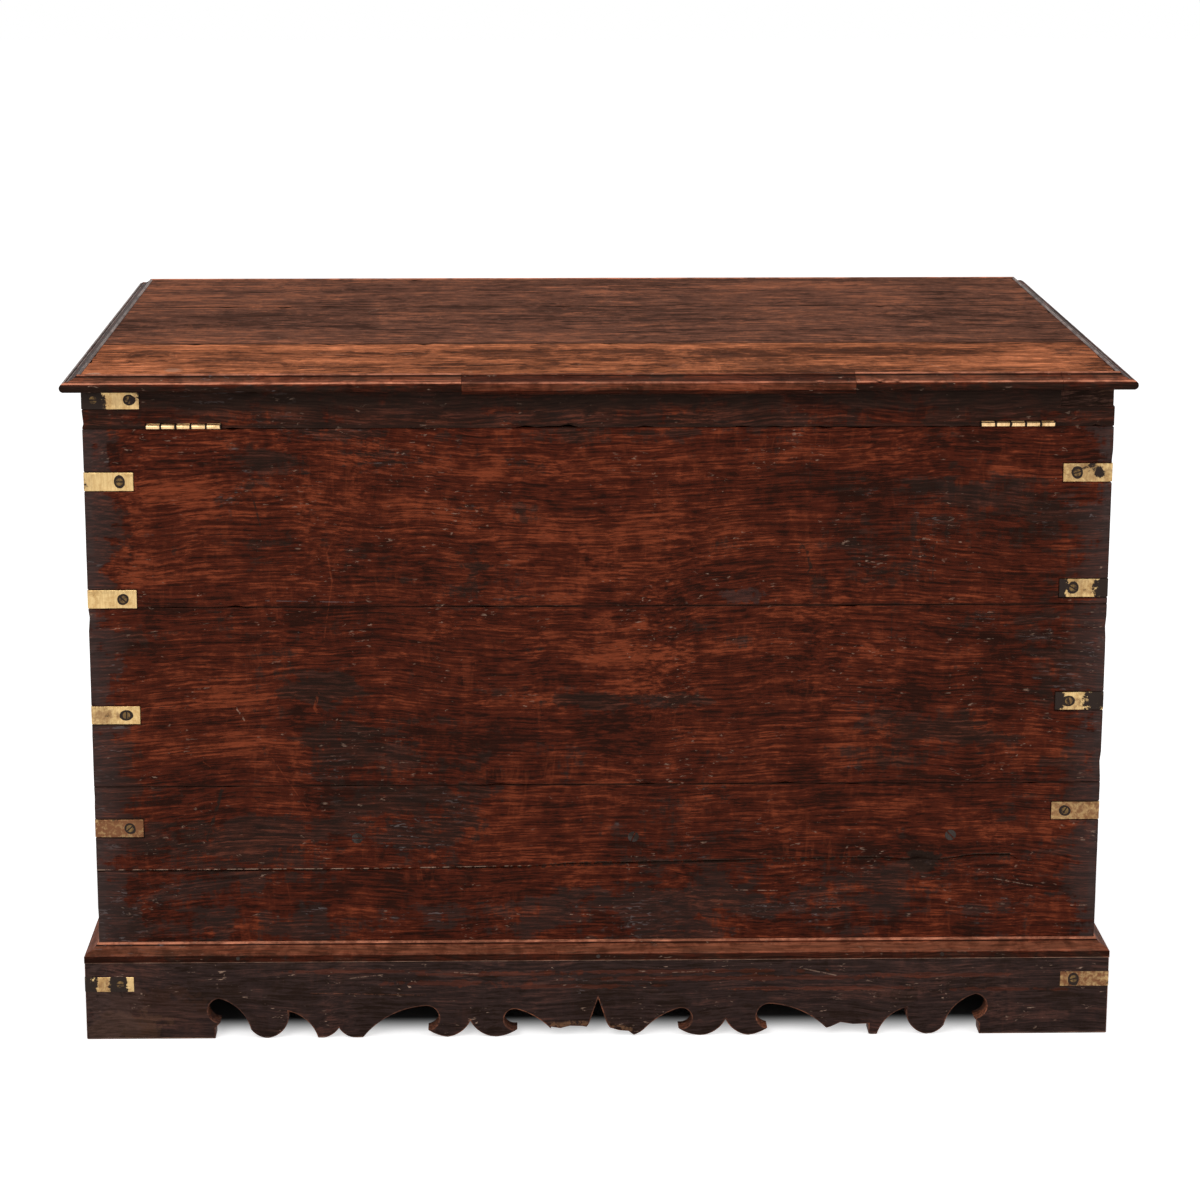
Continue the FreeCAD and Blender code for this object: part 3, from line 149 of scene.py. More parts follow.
def length(label, words, metres):
    """A length that a user can change."""
    return bpy.props.FloatProperty(name=label, description=words, default=metres, unit="LENGTH")


class ChestSizes(bpy.types.PropertyGroup):
    """How finely the pieces are made and how deep their wear goes."""
    board_cell: length("Board cell", "Spacing of the points on boards", 0.011)
    moulding_cell: length("Moulding cell", "Spacing of the points along mouldings", 0.006)
    arris: length("Arris", "Width of the eased edge of boards", 0.0009)
    metal_arris: length("Metal arris", "Width of the eased edge of metal", 0.00025)
    hollow: length("Hollow", "How far the plane marks sink into the wood", 0.0003)
    nibble: length("Nibble", "How deep the chips in an edge are", 0.0035)
    crack_depth: length("Crack depth", "Depth of the crack in the lower back board", 0.004)
    strap_fit: length("Strap fit", "Gap between a strap and the wood", 0.0009)


def tone(label, words, colour):
    """A colour that a user can change."""
    return bpy.props.FloatVectorProperty(name=label, description=words, default=(*colour, 1), size=4,
                                         subtype="COLOR", min=0, max=1)


class ChestColours(bpy.types.PropertyGroup):
    """Colours of the finishes."""
    film: tone("Old film", "Blackened polish on the body", (0.0220, 0.0114, 0.0080))
    edge_pale: tone("Edge pale", "Lighter streaks in the old film", (0.070, 0.040, 0.033))
    edge_grey: tone("Edge grey", "Greyed arrises of the body", (0.047, 0.0300, 0.0265))
    body_dark: tone("Body dark", "Dark streaks of the body", (0.0245, 0.0067, 0.0037))
    body_red: tone("Body red", "Red-brown of the body", (0.060, 0.0112, 0.0052))
    body_orange: tone("Body orange", "Rubbed streaks of the body", (0.172, 0.0355, 0.0140))
    dry_pale: tone("Dry wood", "Bare and broken wood", (0.36, 0.23, 0.165))
    top_dark: tone("Lid dark", "Dark streaks of the lid's top", (0.046, 0.0190, 0.0120))
    top_brown: tone("Lid brown", "Brown of the lid's top", (0.113, 0.0465, 0.0295))
    top_orange: tone("Lid orange", "Bright streaks of the lid's top", (0.262, 0.092, 0.048))
    strip_dark: tone("Strip dark", "Dark streaks of the lid's back board", (0.072, 0.0245, 0.0125))
    strip_brown: tone("Strip brown", "Orange-brown of the lid's back board", (0.245, 0.079, 0.035))
    strip_orange: tone("Strip orange", "Bright streaks of the lid's back board", (0.52, 0.170, 0.074))
    plinth_dark: tone("Plinth dark", "Dark brown of the plinth", (0.031, 0.0178, 0.0155))
    plinth_brown: tone("Plinth brown", "Lighter brown of the plinth", (0.066, 0.029, 0.022))
    inner_brown: tone("Inner brown", "Unpolished teak inside", (0.17, 0.085, 0.045))
    # Moulding red is the ogee's own red and also its painted highlight.
    foot_red: tone("Moulding red", "Rubbed ogee over the plinth", (0.250, 0.084, 0.044))
    # The bare edge colour is a painted sheen on the arrises at the lid's ends.
    painted_edge_sheen: tone("Bare edge", "Bare arrises at the ends of the lid", (0.30, 0.25, 0.23))
    # Worn edge is partly bare wear and partly painted highlight along the mouldings' upper arrises.
    worn: tone("Worn edge", "Bare arrises of the mouldings", (0.56, 0.21, 0.12))
    glint: tone("Glint", "Grey glints on the black film", (0.150, 0.122, 0.118))
    brass: tone("Brass", "Rubbed brass", (0.66, 0.465, 0.215))
    hinge_brass: tone("Hinge brass", "Brass of the hinge barrels", (0.90, 0.62, 0.33))
    brass_dull: tone("Dull brass", "Handled brass", (0.42, 0.25, 0.095))
    patina: tone("Patina", "Browned brass", (0.150, 0.064, 0.030))
    tarnish: tone("Tarnish", "Blackened brass and iron", (0.028, 0.018, 0.014))
    iron: tone("Iron", "Old iron", (0.048, 0.039, 0.035))
    floor: tone("Floor", "Studio floor", (0.8, 0.8, 0.8))


# Nodes

class Wiring:
    """Adds shader nodes to a tree and joins them."""

    def __init__(self, tree):
        self.tree = tree

    def fill(self, node, inputs):
        """Link or set a node's inputs, by their names or in their order."""
        for key, value in inputs.items() if isinstance(inputs, dict) else enumerate(inputs):
            if isinstance(value, bpy.types.NodeSocket):
                self.tree.links.new(value, node.inputs[key])
            else:
                node.inputs[key].default_value = value

    def add(self, kind, inputs=(), output=0, **settings):
        node = self.tree.nodes.new("ShaderNode" + kind)
        for key, value in settings.items():
            setattr(node, key, value)
        self.fill(node, inputs)
        return node.outputs[output]

    def math(self, operation, *values):
        return self.add("Math", values, operation=operation)

    def scaled(self, vector, scale):
        return self.add("VectorMath", (vector, scale), operation="MULTIPLY")

    def span(self, value, start, end, low=0.0, high=1.0):
        return self.add("MapRange", (value, start, end, low, high), interpolation_type="SMOOTHSTEP")

    def noise(self, vector, scale, detail=3, roughness=0.55, distortion=0.0):
        return self.add("TexNoise", {"Vector": vector, "Scale": scale, "Detail": detail,
                                     "Roughness": roughness, "Distortion": distortion})

    def axes(self, vector):
        return self.add("SeparateXYZ", (vector,), output=slice(None))

    def mix(self, share, first, second, blend="MIX"):
        return self.add("Mix", {0: share, 6: first, 7: second}, output=2, data_type="RGBA", blend_type=blend)

    def group(self, tree, inputs, output):
        node = self.tree.nodes.new("ShaderNodeGroup")
        node.node_tree = tree
        self.fill(node, inputs)
        return node.outputs[output] if isinstance(output, str) else [node.outputs[name] for name in output]


def new_group(name, inputs, outputs):
    """An empty shader group, its wiring, its input sockets and its output sockets."""
    tree = bpy.data.node_groups.new(name, "ShaderNodeTree")
    kinds = {"F": "NodeSocketFloat", "V": "NodeSocketVector", "C": "NodeSocketColor"}
    for label, kind, default in inputs:
        tree.interface.new_socket(label, in_out="INPUT", socket_type=kinds[kind]).default_value = default
    for label in outputs:
        tree.interface.new_socket(label, in_out="OUTPUT", socket_type=kinds["F"])
    wires = Wiring(tree)
    return tree, wires, tree.nodes.new("NodeGroupInput").outputs, tree.nodes.new("NodeGroupOutput").inputs


def figure_group():
    """Wavy grain that runs along X: broad streaks, fine grain, short dark pores and curl across the grain."""
    tree, wires, given, made = new_group(
        "teak_figure", (("Position", "V", (0, 0, 0)), ("Seed", "V", (0, 0, 0))),
        ("Streaks", "Grain", "Pores", "Curl"))
    place = wires.add("VectorMath", (given["Position"], given["Seed"]), operation="ADD")
    drift = wires.add("TexNoise", {"Vector": place, "Scale": 3.5, "Detail": 2.0}, output=1)
    bent = wires.add("VectorMath", (drift, (0.05, 0.05, 0.05), place), operation="MULTIPLY_ADD")
    ripple = wires.add("TexNoise", {"Vector": place, "Scale": 34.0, "Detail": 3.0}, output=1)
    wavy = wires.add("VectorMath", (ripple, (0.0, 0.0035, 0.0035), bent), operation="MULTIPLY_ADD")
    links = tree.links.new
    links(wires.noise(wires.scaled(bent, (2.6, 34, 34)), 1.0, 7, 0.68, 0.3), made["Streaks"])
    links(wires.noise(wires.scaled(wavy, (15, 420, 420)), 1.0, 4, 0.72, 0.2), made["Grain"])
    pores = wires.noise(wires.scaled(wavy, (70, 1000, 1000)), 1.0, 2, 0.5)
    links(wires.span(pores, 0.57, 0.68), made["Pores"])
    links(wires.noise(wires.scaled(bent, (120, 24, 24)), 1.0, 4, 0.66, 0.6), made["Curl"])
    return tree


def film_group():
    """Old polish, darkened in clouds, blots and strokes both ways, with nicks and grey glints in it."""
    tree, wires, given, made = new_group(
        "old_polish", (("Position", "V", (0, 0, 0)), ("Streaks", "F", 0.5), ("Cover", "F", 0.0)),
        ("Film", "Nicks", "Dents", "Tint", "Glints"))
    links = tree.links.new
    place = given["Position"]
    clouds = wires.noise(wires.scaled(place, (0.75, 1, 1.3)), 10.0, 8, 0.71)
    blots = wires.noise(wires.scaled(place, (0.6, 1, 1)), 48.0, 6, 0.70, 0.6)
    strokes = wires.noise(wires.scaled(place, (130, 130, 13)), 1.0, 4, 0.66, 0.3)
    level = wires.noise(wires.scaled(place, (9, 120, 120)), 1.0, 5, 0.68, 0.3)
    total = wires.math("MULTIPLY_ADD", clouds, 0.42, given["Cover"])
    for part, share in ((blots, 0.20), (strokes, 0.11), (level, 0.16), (given["Streaks"], 0.11)):
        total = wires.math("MULTIPLY_ADD", part, share, total)
    film = wires.span(total, 0.482, 0.522)
    links(film, made["Film"])
    fleck = wires.noise(wires.scaled(place, (0.3, 1, 1)), 420.0, 2, 0.5, 0.6)
    where = wires.noise(place, 24.0, 4, 0.65)
    links(wires.math("MULTIPLY", wires.span(fleck, 0.65, 0.73), wires.span(where, 0.51, 0.62)), made["Nicks"])
    dash = wires.noise(wires.scaled(place, (70, 330, 330)), 1.0, 3, 0.62, 0.8)
    some = wires.span(wires.noise(wires.scaled(place, (0.5, 1, 1)), 15.0, 4, 0.6), 0.52, 0.62)
    dashes = wires.math("MULTIPLY", wires.span(dash, 0.60, 0.66), some)
    links(wires.math("MULTIPLY", dashes, film), made["Glints"])
    links(wires.noise(place, 60.0, 5, 0.62, 0.5), made["Dents"])
    links(wires.noise(place, 13.0, 5, 0.6), made["Tint"])
    return tree


def patch_group():
    """A patch with a ragged edge about a centre, and how near its middle a point is."""
    tree, wires, given, made = new_group(
        "ragged_patch", (("Position", "V", (0, 0, 0)), ("Centre", "V", (0, 0, 0)), ("Reach", "V", (1, 1, 1)),
                         ("Break", "F", 0.5)), ("Mask", "Near"))
    away = wires.add("VectorMath", (given["Position"], given["Centre"]), operation="SUBTRACT")
    near = wires.add("VectorMath", (away, given["Reach"]), operation="DIVIDE")
    distance = wires.add("VectorMath", (near,), output=1, operation="LENGTH")
    frayed = wires.math("ADD", distance, wires.math("MULTIPLY_ADD", given["Break"], 2.4, -1.2))
    tree.links.new(wires.span(frayed, 1.25, 0.35), made["Near"])
    total = wires.math("ADD", distance, wires.math("MULTIPLY_ADD", given["Break"], 3.4, -1.7))
    tree.links.new(wires.span(total, 1.05, 0.75), made["Mask"])
    return tree


def scratch_group():
    """A scratch from one point to another, thinning out at random along the way."""
    tree, wires, given, made = new_group(
        "scratch_line", (("Position", "V", (0, 0, 0)), ("Start", "V", (0, 0, 0)), ("End", "V", (0, 0, 0)),
                         ("Width", "F", 0.001)), ("Mask",))
    run = wires.add("VectorMath", (given["End"], given["Start"]), operation="SUBTRACT")
    away = wires.add("VectorMath", (given["Position"], given["Start"]), operation="SUBTRACT")
    along = wires.math("DIVIDE", wires.add("VectorMath", (away, run), output=1, operation="DOT_PRODUCT"),
                       wires.add("VectorMath", (run, run), output=1, operation="DOT_PRODUCT"))
    share = wires.add("Clamp", (along, 0.0, 1.0))
    reached = wires.add("VectorMath", {0: run, 3: share}, operation="SCALE")
    apart = wires.add("VectorMath", (away, reached), operation="SUBTRACT")
    distance = wires.add("VectorMath", (apart,), output=1, operation="LENGTH")
    ratio = wires.math("DIVIDE", distance, given["Width"])
    tree.links.new(wires.span(ratio, 1.0, 0.45), made["Mask"])
    return tree


def edge_group():
    """Closeness to the arrises of a block between two corners."""
    tree, wires, given, made = new_group(
        "block_edges", (("Position", "V", (0, 0, 0)), ("Middle", "V", (0, 0, 0)), ("Half", "V", (1, 1, 1)),
                        ("Width", "F", 0.01)), ("Mask",))
    away = wires.add("VectorMath", (given["Position"], given["Middle"]), operation="SUBTRACT")
    inside = wires.add("VectorMath", (given["Half"], wires.add("VectorMath", (away,), operation="ABSOLUTE")),
                       operation="SUBTRACT")
    x, y, z = wires.axes(inside)
    least = wires.math("MINIMUM", x, wires.math("MINIMUM", y, z))
    most = wires.math("MAXIMUM", x, wires.math("MAXIMUM", y, z))
    total = wires.math("ADD", x, wires.math("ADD", y, z))
    middle = wires.math("SUBTRACT", wires.math("SUBTRACT", total, least), most)
    tree.links.new(wires.span(wires.math("DIVIDE", middle, given["Width"]), 1.0, 0.0), made["Mask"])
    return tree


GROUPS = {}
FINISHES = {}


def shared(name):
    """One of the shader groups, made the first time that it is asked for."""
    makers = {"figure": figure_group, "film": film_group, "patch": patch_group, "scratch": scratch_group,
              "edges": edge_group}
    if name not in GROUPS:
        GROUPS[name] = makers[name]()
    return GROUPS[name]


def new_material(name):
    """A material, its wiring and its Principled shader."""
    material = bpy.data.materials.new(name)
    material.use_nodes = True
    material.node_tree.nodes.clear()
    wires = Wiring(material.node_tree)
    shader = material.node_tree.nodes.new("ShaderNodeBsdfPrincipled")
    output = material.node_tree.nodes.new("ShaderNodeOutputMaterial")
    material.node_tree.links.new(shader.outputs[0], output.inputs[0])
    return material, wires, shader


def object_place(wires, swapped=False):
    """Where a point is on the chest at rest, with X and Y swapped for wood that runs front to back."""
    place = wires.add("TexCoord", output=3)
    if not swapped:
        return place
    x, y, z = wires.axes(place)
    return wires.add("CombineXYZ", (y, x, z))


def on_face(pair, top, other=0):
    """A pair in millimetres as a vector on the back or, for the lid, on its top."""
    return (pair[0] * MM, pair[1] * MM, other) if top else (pair[0] * MM, other, pair[1] * MM)


def marked(wires, colour, place, marks, wobble, top=False):
    """The colour with placed patches and scratches over it."""
    flat = wires.scaled(place, (1, 1, 0) if top else (1, 0, 1))
    torn = wires.span(wires.noise(place, 120.0, 4, 0.7), 0.44, 0.55)
    for kind, low, high, width, strength, hue in marks:
        if kind == "patch":
            mask = wires.group(shared("patch"), {"Position": flat, "Centre": on_face(low, top),
                                                 "Break": wobble, "Reach": on_face(high, top, 1)}, "Mask")
        else:
            mask = wires.group(shared("scratch"), {"Position": flat, "Start": on_face(low, top),
                                                   "End": on_face(high, top), "Width": width * MM}, "Mask")
            mask = wires.math("MULTIPLY", mask, torn)
        colour = wires.mix(wires.math("MULTIPLY", mask, strength), colour, hue)
    return colour


def teak(name, tones, seed, swapped=False, cover=0.0, zones=(), marks=(), block=None, bands=(), nick=0.5,
         gloss=0.40, specular=0.03, film=None, glint=0.6, depth=0.3, top=False):
    """Teak with figure, an old film of polish that zones thicken or clear, worn arrises, bands and marks."""
    if name in FINISHES:
        return FINISHES[name]
    colours = bpy.context.scene.chest_colours
    film = film or colours.film
    material, wires, shader = new_material(name)
    place = object_place(wires)
    run = object_place(wires, swapped)
    streaks, grain, pores, curl = wires.group(shared("figure"), {"Position": run, "Seed": (seed, seed, 0)},
                                              ("Streaks", "Grain", "Pores", "Curl"))
    field, glow = cover, 0.0
    flat = wires.scaled(place, (1, 1, 0) if top else (1, 0, 1))
    ragged = wires.noise(wires.scaled(run, (16, 40, 40)), 1.0, 5, 0.72) if zones else None
    for x, z, wide, tall, thicker, brighter in zones:
        near = wires.group(shared("patch"), {"Position": flat, "Centre": on_face((x, z), top),
                                             "Break": ragged, "Reach": on_face((wide, tall), top, 1)}, "Near")
        field = wires.math("MULTIPLY_ADD", near, 0.8 * thicker, field)
        glow = wires.math("MULTIPLY_ADD", near, 0.6 * brighter, glow)
    rim = 0.0
    if block is not None:
        middle_point, half, width = block
        rim = wires.group(shared("edges"), {"Position": place, "Middle": middle_point, "Half": half,
                                            "Width": width}, "Mask")
        field = wires.math("MULTIPLY_ADD", rim, 0.085, field)
    coat, nicks, dents, tint, glints = wires.group(
        shared("film"), {"Position": run, "Streaks": streaks, "Cover": field},
        ("Film", "Nicks", "Dents", "Tint", "Glints"))
    dark, middle, bright = tones
    level = wires.math("MULTIPLY_ADD", grain, 0.55, wires.math("MULTIPLY_ADD", streaks, 0.5, -0.175))
    level = wires.math("ADD", level, glow)
    level = wires.math("MULTIPLY_ADD", tint, 0.3, level)
    level = wires.math("MULTIPLY_ADD", dents, 0.35, wires.math("SUBTRACT", level, 0.175))
    low = wires.mix(wires.span(level, 0.40, 0.49), dark, middle)
    colour = wires.mix(wires.span(level, 0.50, 0.67), low, bright)
    hatched = wires.math("MULTIPLY", wires.span(curl, 0.5, 0.66), wires.span(tint, 0.45, 0.65, 0.0, 0.4))
    colour = wires.mix(hatched, colour, bright)
    colour = wires.mix(wires.math("MULTIPLY", pores, 0.6), colour, dark)
    greyed = wires.math("MAXIMUM", rim, wires.span(tint, 0.5, 0.7, 0.0, 0.25))
    axes = wires.axes(place)
    if block is not None:
        greyed = wires.math("MAXIMUM", greyed, wires.span(axes[2], 0.28, 0.12, 0.0, 0.3))
    stain = wires.mix(greyed, film, colours.edge_grey)
    stain = wires.mix(wires.span(grain, 0.50, 0.66, 0.0, 0.3), stain, colours.edge_pale)
    thick = wires.math("MULTIPLY", coat, wires.span(grain, 0.3, 0.66, 0.97, 0.60))
    colour = wires.mix(thick, colour, stain)
    if block is not None:
        bare = wires.math("MULTIPLY", wires.span(rim, 0.90, 0.985), wires.span(dents, 0.42, 0.6, 0.25, 0.9))
        colour = wires.mix(bare, colour, colours.edge_grey)
    if marks:
        colour = marked(wires, colour, place, marks, dents, top)
    across = axes[1 if top else 2]
    # Bands across the wood: seams, joints and wear, and on the mouldings and lid rails also painted highlight
    # and painted shade.
    for start, end, hue, strength, soft in bands:
        within = wires.math("MULTIPLY", wires.span(across, start - soft, start + soft),
                            wires.span(across, end + soft, end - soft))
        uneven = wires.math("MULTIPLY_ADD", dents, 0.5, wires.math("MULTIPLY", streaks, 0.5))
        patchy = wires.span(uneven, 0.42, 0.55, strength * 0.4, strength)
        colour = wires.mix(wires.math("MULTIPLY", within, patchy), colour, hue)
    colour = wires.mix(1.0, colour, wires.span(grain, 0.33, 0.67, 1 - depth, 1 + depth), "MULTIPLY")
    colour = wires.mix(wires.math("MULTIPLY", glints, glint), colour, colours.glint)
    colour = wires.mix(wires.math("MULTIPLY", nicks, nick), colour, colours.dry_pale)
    wires.tree.links.new(colour, shader.inputs["Base Color"])
    rough = wires.math("MULTIPLY_ADD", grain, 0.22, gloss - 0.11)
    wires.tree.links.new(wires.math("MULTIPLY_ADD", dents, 0.16, wires.math("SUBTRACT", rough, 0.08)),
                         shader.inputs["Roughness"])
    shader.inputs["Specular IOR Level"].default_value = specular
    height = wires.math("MULTIPLY_ADD", grain, 0.3, wires.math("MULTIPLY", dents, 0.5))
    height = wires.math("SUBTRACT", height, wires.math("MULTIPLY", pores, 0.3))
    height = wires.math("SUBTRACT", height, wires.math("MULTIPLY", nicks, 0.5))
    bump = wires.add("Bump", {"Strength": 0.6, "Distance": 0.0006, "Height": height})
    wires.tree.links.new(bump, shader.inputs["Normal"])
    FINISHES[name] = material
    return material


def metal(name, bright, dull, dark, cover, seed, spots=(), metallic=1.0, gloss=0.36):
    """Rubbed metal with fine lines, dull marks and dark tarnish, and spots of more stain and patina, some of
    them painted shade round screws.
    """
    if name in FINISHES:
        return FINISHES[name]
    material, wires, shader = new_material(name)
    place = object_place(wires)
    moved = wires.add("VectorMath", (place, (seed, seed, seed)), operation="ADD")
    clouds = wires.noise(moved, 60.0, 7, 0.68, 0.5)
    blotch = wires.noise(moved, 190.0, 5, 0.66, 0.4)
    rubs = wires.noise(wires.scaled(moved, (520, 520, 60)), 1.0, 3, 0.6, 0.2)
    field, haze = cover - 0.5, 0.0
    flat = wires.scaled(place, (1, 0, 1))
    for x, z, wide, tall, stain, brown in spots:
        near = wires.group(shared("patch"), {"Position": flat, "Centre": on_face((x, z), False),
                                             "Break": blotch if wide != tall else 0.5,
                                             "Reach": on_face((wide, tall), False, 1)}, "Near")
        field = wires.math("MULTIPLY_ADD", near, stain, field)
        if brown:
            haze = wires.math("MULTIPLY_ADD", near, brown, haze)
    total = wires.math("MULTIPLY_ADD", clouds, 0.65, wires.math("MULTIPLY", blotch, 0.35))
    stained = wires.span(wires.math("ADD", total, field), 0.50, 0.56)
    colour = wires.mix(wires.span(rubs, 0.30, 0.66, 0.45, 1.0), dull, bright)
    colour = wires.mix(wires.span(clouds, 0.46, 0.62, 0.0, 0.75), colour, dull)
    if spots:
        browned = wires.math("MULTIPLY", haze, wires.span(blotch, 0.36, 0.62, 1.0, 0.62))
        browned = wires.add("Clamp", (browned, 0.0, 1.0))
        colour = wires.mix(browned, colour, bpy.context.scene.chest_colours.patina)
        specks = wires.math("MULTIPLY", browned, wires.span(blotch, 0.60, 0.68))
        stained = wires.math("MAXIMUM", stained, specks)
    colour = wires.mix(stained, colour, dark)
    links = wires.tree.links.new
    links(colour, shader.inputs["Base Color"])
    links(wires.math("MULTIPLY_ADD", stained, -0.8, metallic), shader.inputs["Metallic"])
    links(wires.math("MULTIPLY_ADD", stained, 0.25, wires.math("MULTIPLY_ADD", rubs, 0.2, gloss - 0.1)),
          shader.inputs["Roughness"])
    shader.inputs["Specular IOR Level"].default_value = 0.1
    height = wires.math("MULTIPLY_ADD", clouds, 0.6, wires.math("MULTIPLY", rubs, 0.1))
    bump = wires.add("Bump", {"Strength": 0.25, "Distance": 0.0004, "Height": height})
    links(bump, shader.inputs["Normal"])
    FINISHES[name] = material
    return material


# Zones of the finish on the back, in millimetres: middle, reach, thicker film and brighter ground.
BACK_ZONES = (
    (-470, 500, 46, 13, -0.10, 0.12), (-408, 392, 46, 40, -0.08, 0.13), (-380, 356, 60, 20, -0.04, 0.08),
    (-430, 575, 60, 45, -0.08, 0.07), (-395, 320, 70, 30, -0.09, 0.12), (-222, 392, 26, 16, -0.16, 0.09),
    (25, 488, 70, 22, -0.10, 0.09), (184, 454, 76, 9, -0.12, 0.12), (364, 473, 66, 10, -0.08, 0.08),
    (45, 402, 80, 40, -0.07, 0.12), (-54, 190, 70, 30, -0.09, 0.12), (-352, 146, 44, 26, -0.07, 0.05),
    (-255, 148, 34, 26, -0.09, 0.05), (-340, 262, 60, 30, -0.04, 0.04), (0, 560, 240, 60, -0.05, 0.03),
    (-321, 612, 56, 14, 0.10, -0.04), (-460, 545, 60, 26, 0.07, -0.03), (-280, 378, 46, 20, 0.14, -0.05),
    (-214, 285, 120, 85, 0.085, -0.05), (45, 360, 76, 13, 0.10, -0.03), (-120, 565, 90, 16, 0.05, -0.03),
    (-230, 500, 60, 34, 0.055, -0.03), (-470, 430, 50, 30, 0.07, 0.0), (-420, 190, 130, 80, 0.075, -0.04),
    (-60, 130, 420, 34, 0.055, -0.03), (330, 300, 120, 60, 0.04, -0.02), (400, 570, 90, 40, 0.06, -0.03),
    (470, 420, 50, 120, 0.06, -0.02), (230, 130, 260, 60, 0.05, -0.03), (-300, 222, 150, 26, 0.05, -0.02),
    (300, 560, 160, 60, 0.03, -0.02), (160, 250, 140, 60, -0.02, 0.03), (0, 640, 520, 8, 0.03, -0.01))
FRONT_ZONES = (
    (0, 615, 60, 40, 0.09, -0.03), (-300, 420, 160, 60, -0.06, 0.09), (240, 330, 180, 60, -0.05, 0.08),
    (90, 520, 140, 30, -0.06, 0.07), (-160, 230, 120, 60, 0.06, -0.04), (330, 160, 160, 50, 0.07, -0.04),
    (-380, 150, 140, 60, 0.06, -0.03), (0, 640, 520, 14, 0.05, -0.03), (380, 560, 90, 50, -0.05, 0.06))

# The same for the top of the lid, where the second number is the distance to the front.
LID_ZONES = (
    (100, -195, 400, 34, 0.06, -0.14), (-480, -280, 90, 60, -0.05, 0.12), (-300, -160, 260, 22, -0.06, 0.12),
    (120, -150, 300, 20, -0.05, 0.10), (440, -250, 60, 70, -0.05, 0.10), (250, -290, 160, 40, 0.03, -0.05),
    (-300, -110, 300, 30, -0.04, 0.08),
    (-380, 0, 200, 60, 0.05, -0.04), (60, 40, 240, 60, 0.05, -0.04), (-430, 220, 120, 90, -0.05, 0.07),
    (330, 250, 200, 60, -0.05, 0.08), (420, 30, 120, 60, 0.04, -0.03), (0, 300, 300, 40, 0.03, -0.02))


# Marks in millimetres, each with its strength and the name of its colour. A patch has a middle and a reach,
# and a scratch has a start, an end and a width.
LID_PATCHES = (
    (-506, -306, 6, 8, 0.6, "dry_pale"), (-430, -290, 8, 10, 0.35, "dry_pale"),
    (-404, -318, 7, 6, 0.5, "dry_pale"), (433, -312, 7, 6, 0.5, "dry_pale"),
    (-52, -155, 20, 14, 0.55, "top_dark"), (-470, -190, 30, 14, 0.5, "top_dark"),
    (-350, -230, 40, 14, 0.4, "top_dark"), (120, -200, 34, 12, 0.4, "top_dark"))
LID_SCRATCHES = (
    (-215, -200, -170, -196, 1.0, 0.6, "dry_pale"), (-475, -142, -440, -144, 1.0, 0.6, "dry_pale"),
    (-300, -196, -262, -200, 1.0, 0.5, "dry_pale"), (-480, -160, -452, -158, 1.6, 0.7, "film"),
    (-500, 30, -470, 26, 1.4, 0.6, "film"), (-250, 70, -236, 96, 0.9, 0.5, "dry_pale"),
    (140, 110, 160, 108, 2.0, 0.7, "film"), (330, -240, 352, -300, 1.0, 0.4, "dry_pale"),
    (-130, -260, -100, -255, 1.0, 0.4, "dry_pale"), (500, 100, 480, 104, 1.4, 0.6, "film"))
BACK_SCRATCHES = (
    (-352, 584, -344, 549, 1.3, 0.8, "film"), (-260, 554, -277, 520, 0.9, 0.35, "body_orange"),
    (-277, 520, -272, 490, 1.2, 0.6, "body_orange"), (-272, 490, -282, 423, 0.9, 0.5, "body_orange"),
    (341, 523, 341, 476, 0.9, 0.8, "film"), (300, 465, 300, 423, 0.9, 0.7, "film"),
    (-418, 306, -385, 282, 0.8, 0.6, "body_orange"), (-339, 306, -298, 242, 0.8, 0.6, "body_orange"),
    (-288, 371, -292, 356, 2.0, 0.7, "body_orange"), (-292, 356, -282, 340, 2.2, 0.6, "body_orange"),
    (-29, 130, -8, 130, 0.6, 0.5, "dry_pale"), (141, 156, 187, 155, 0.6, 0.5, "dry_pale"),
    (413, 167, 454, 159, 0.6, 0.5, "dry_pale"), (495, 137, 512, 137, 0.7, 0.5, "dry_pale"),
    (-389, 268, -405, 214, 2.4, 1.0, "film"), (-376, 214, -375, 213, 2.6, 1.0, "film"),
    (212, 520, 216, 503, 2.4, 0.85, "film"), (204, 529, 212, 520, 1.4, 0.85, "film"),
    (216, 503, 213, 497, 1.2, 0.8, "film"))
LATER_SCRATCHES = (
    (-413, 386, -377, 388, 0.8, 0.8, "film"), (-451, 357, -418, 359, 0.8, 0.8, "film"),
    (-372, 356, -364, 343, 1.2, 0.6, "dry_pale"), (-340, 470, -250, 468, 0.7, 0.4, "glint"))
PLINTH_PATCHES = ((-492, 14, 44, 18, 0.22, "inner_brown"), (-470, 34, 60, 24, 0.16, "top_brown"))
PLINTH_SCRATCHES = (
    (-150, 72, -120, 70, 0.8, 0.5, "dry_pale"), (215, 74, 250, 66, 0.8, 0.5, "dry_pale"),
    (66, 70, 110, 72, 0.8, 0.4, "dry_pale"), (-260, 66, -225, 70, 0.7, 0.4, "dry_pale"),
    (-300, 50, -180, 47, 0.7, 0.3, "top_orange"), (120, 52, 300, 49, 0.7, 0.3, "top_orange"))
PLINTH_STREAKS = (
    (60, 72, 150, 2.6), (130, 64, 180, 3.0), (-20, 56, 90, 2.4), (250, 52, 110, 2.4), (360, 66, 80, 2.6),
    (-150, 60, 60, 3.2), (-90, 70, 100, 2.4), (-260, 74, 90, 2.2), (420, 50, 60, 2.4))

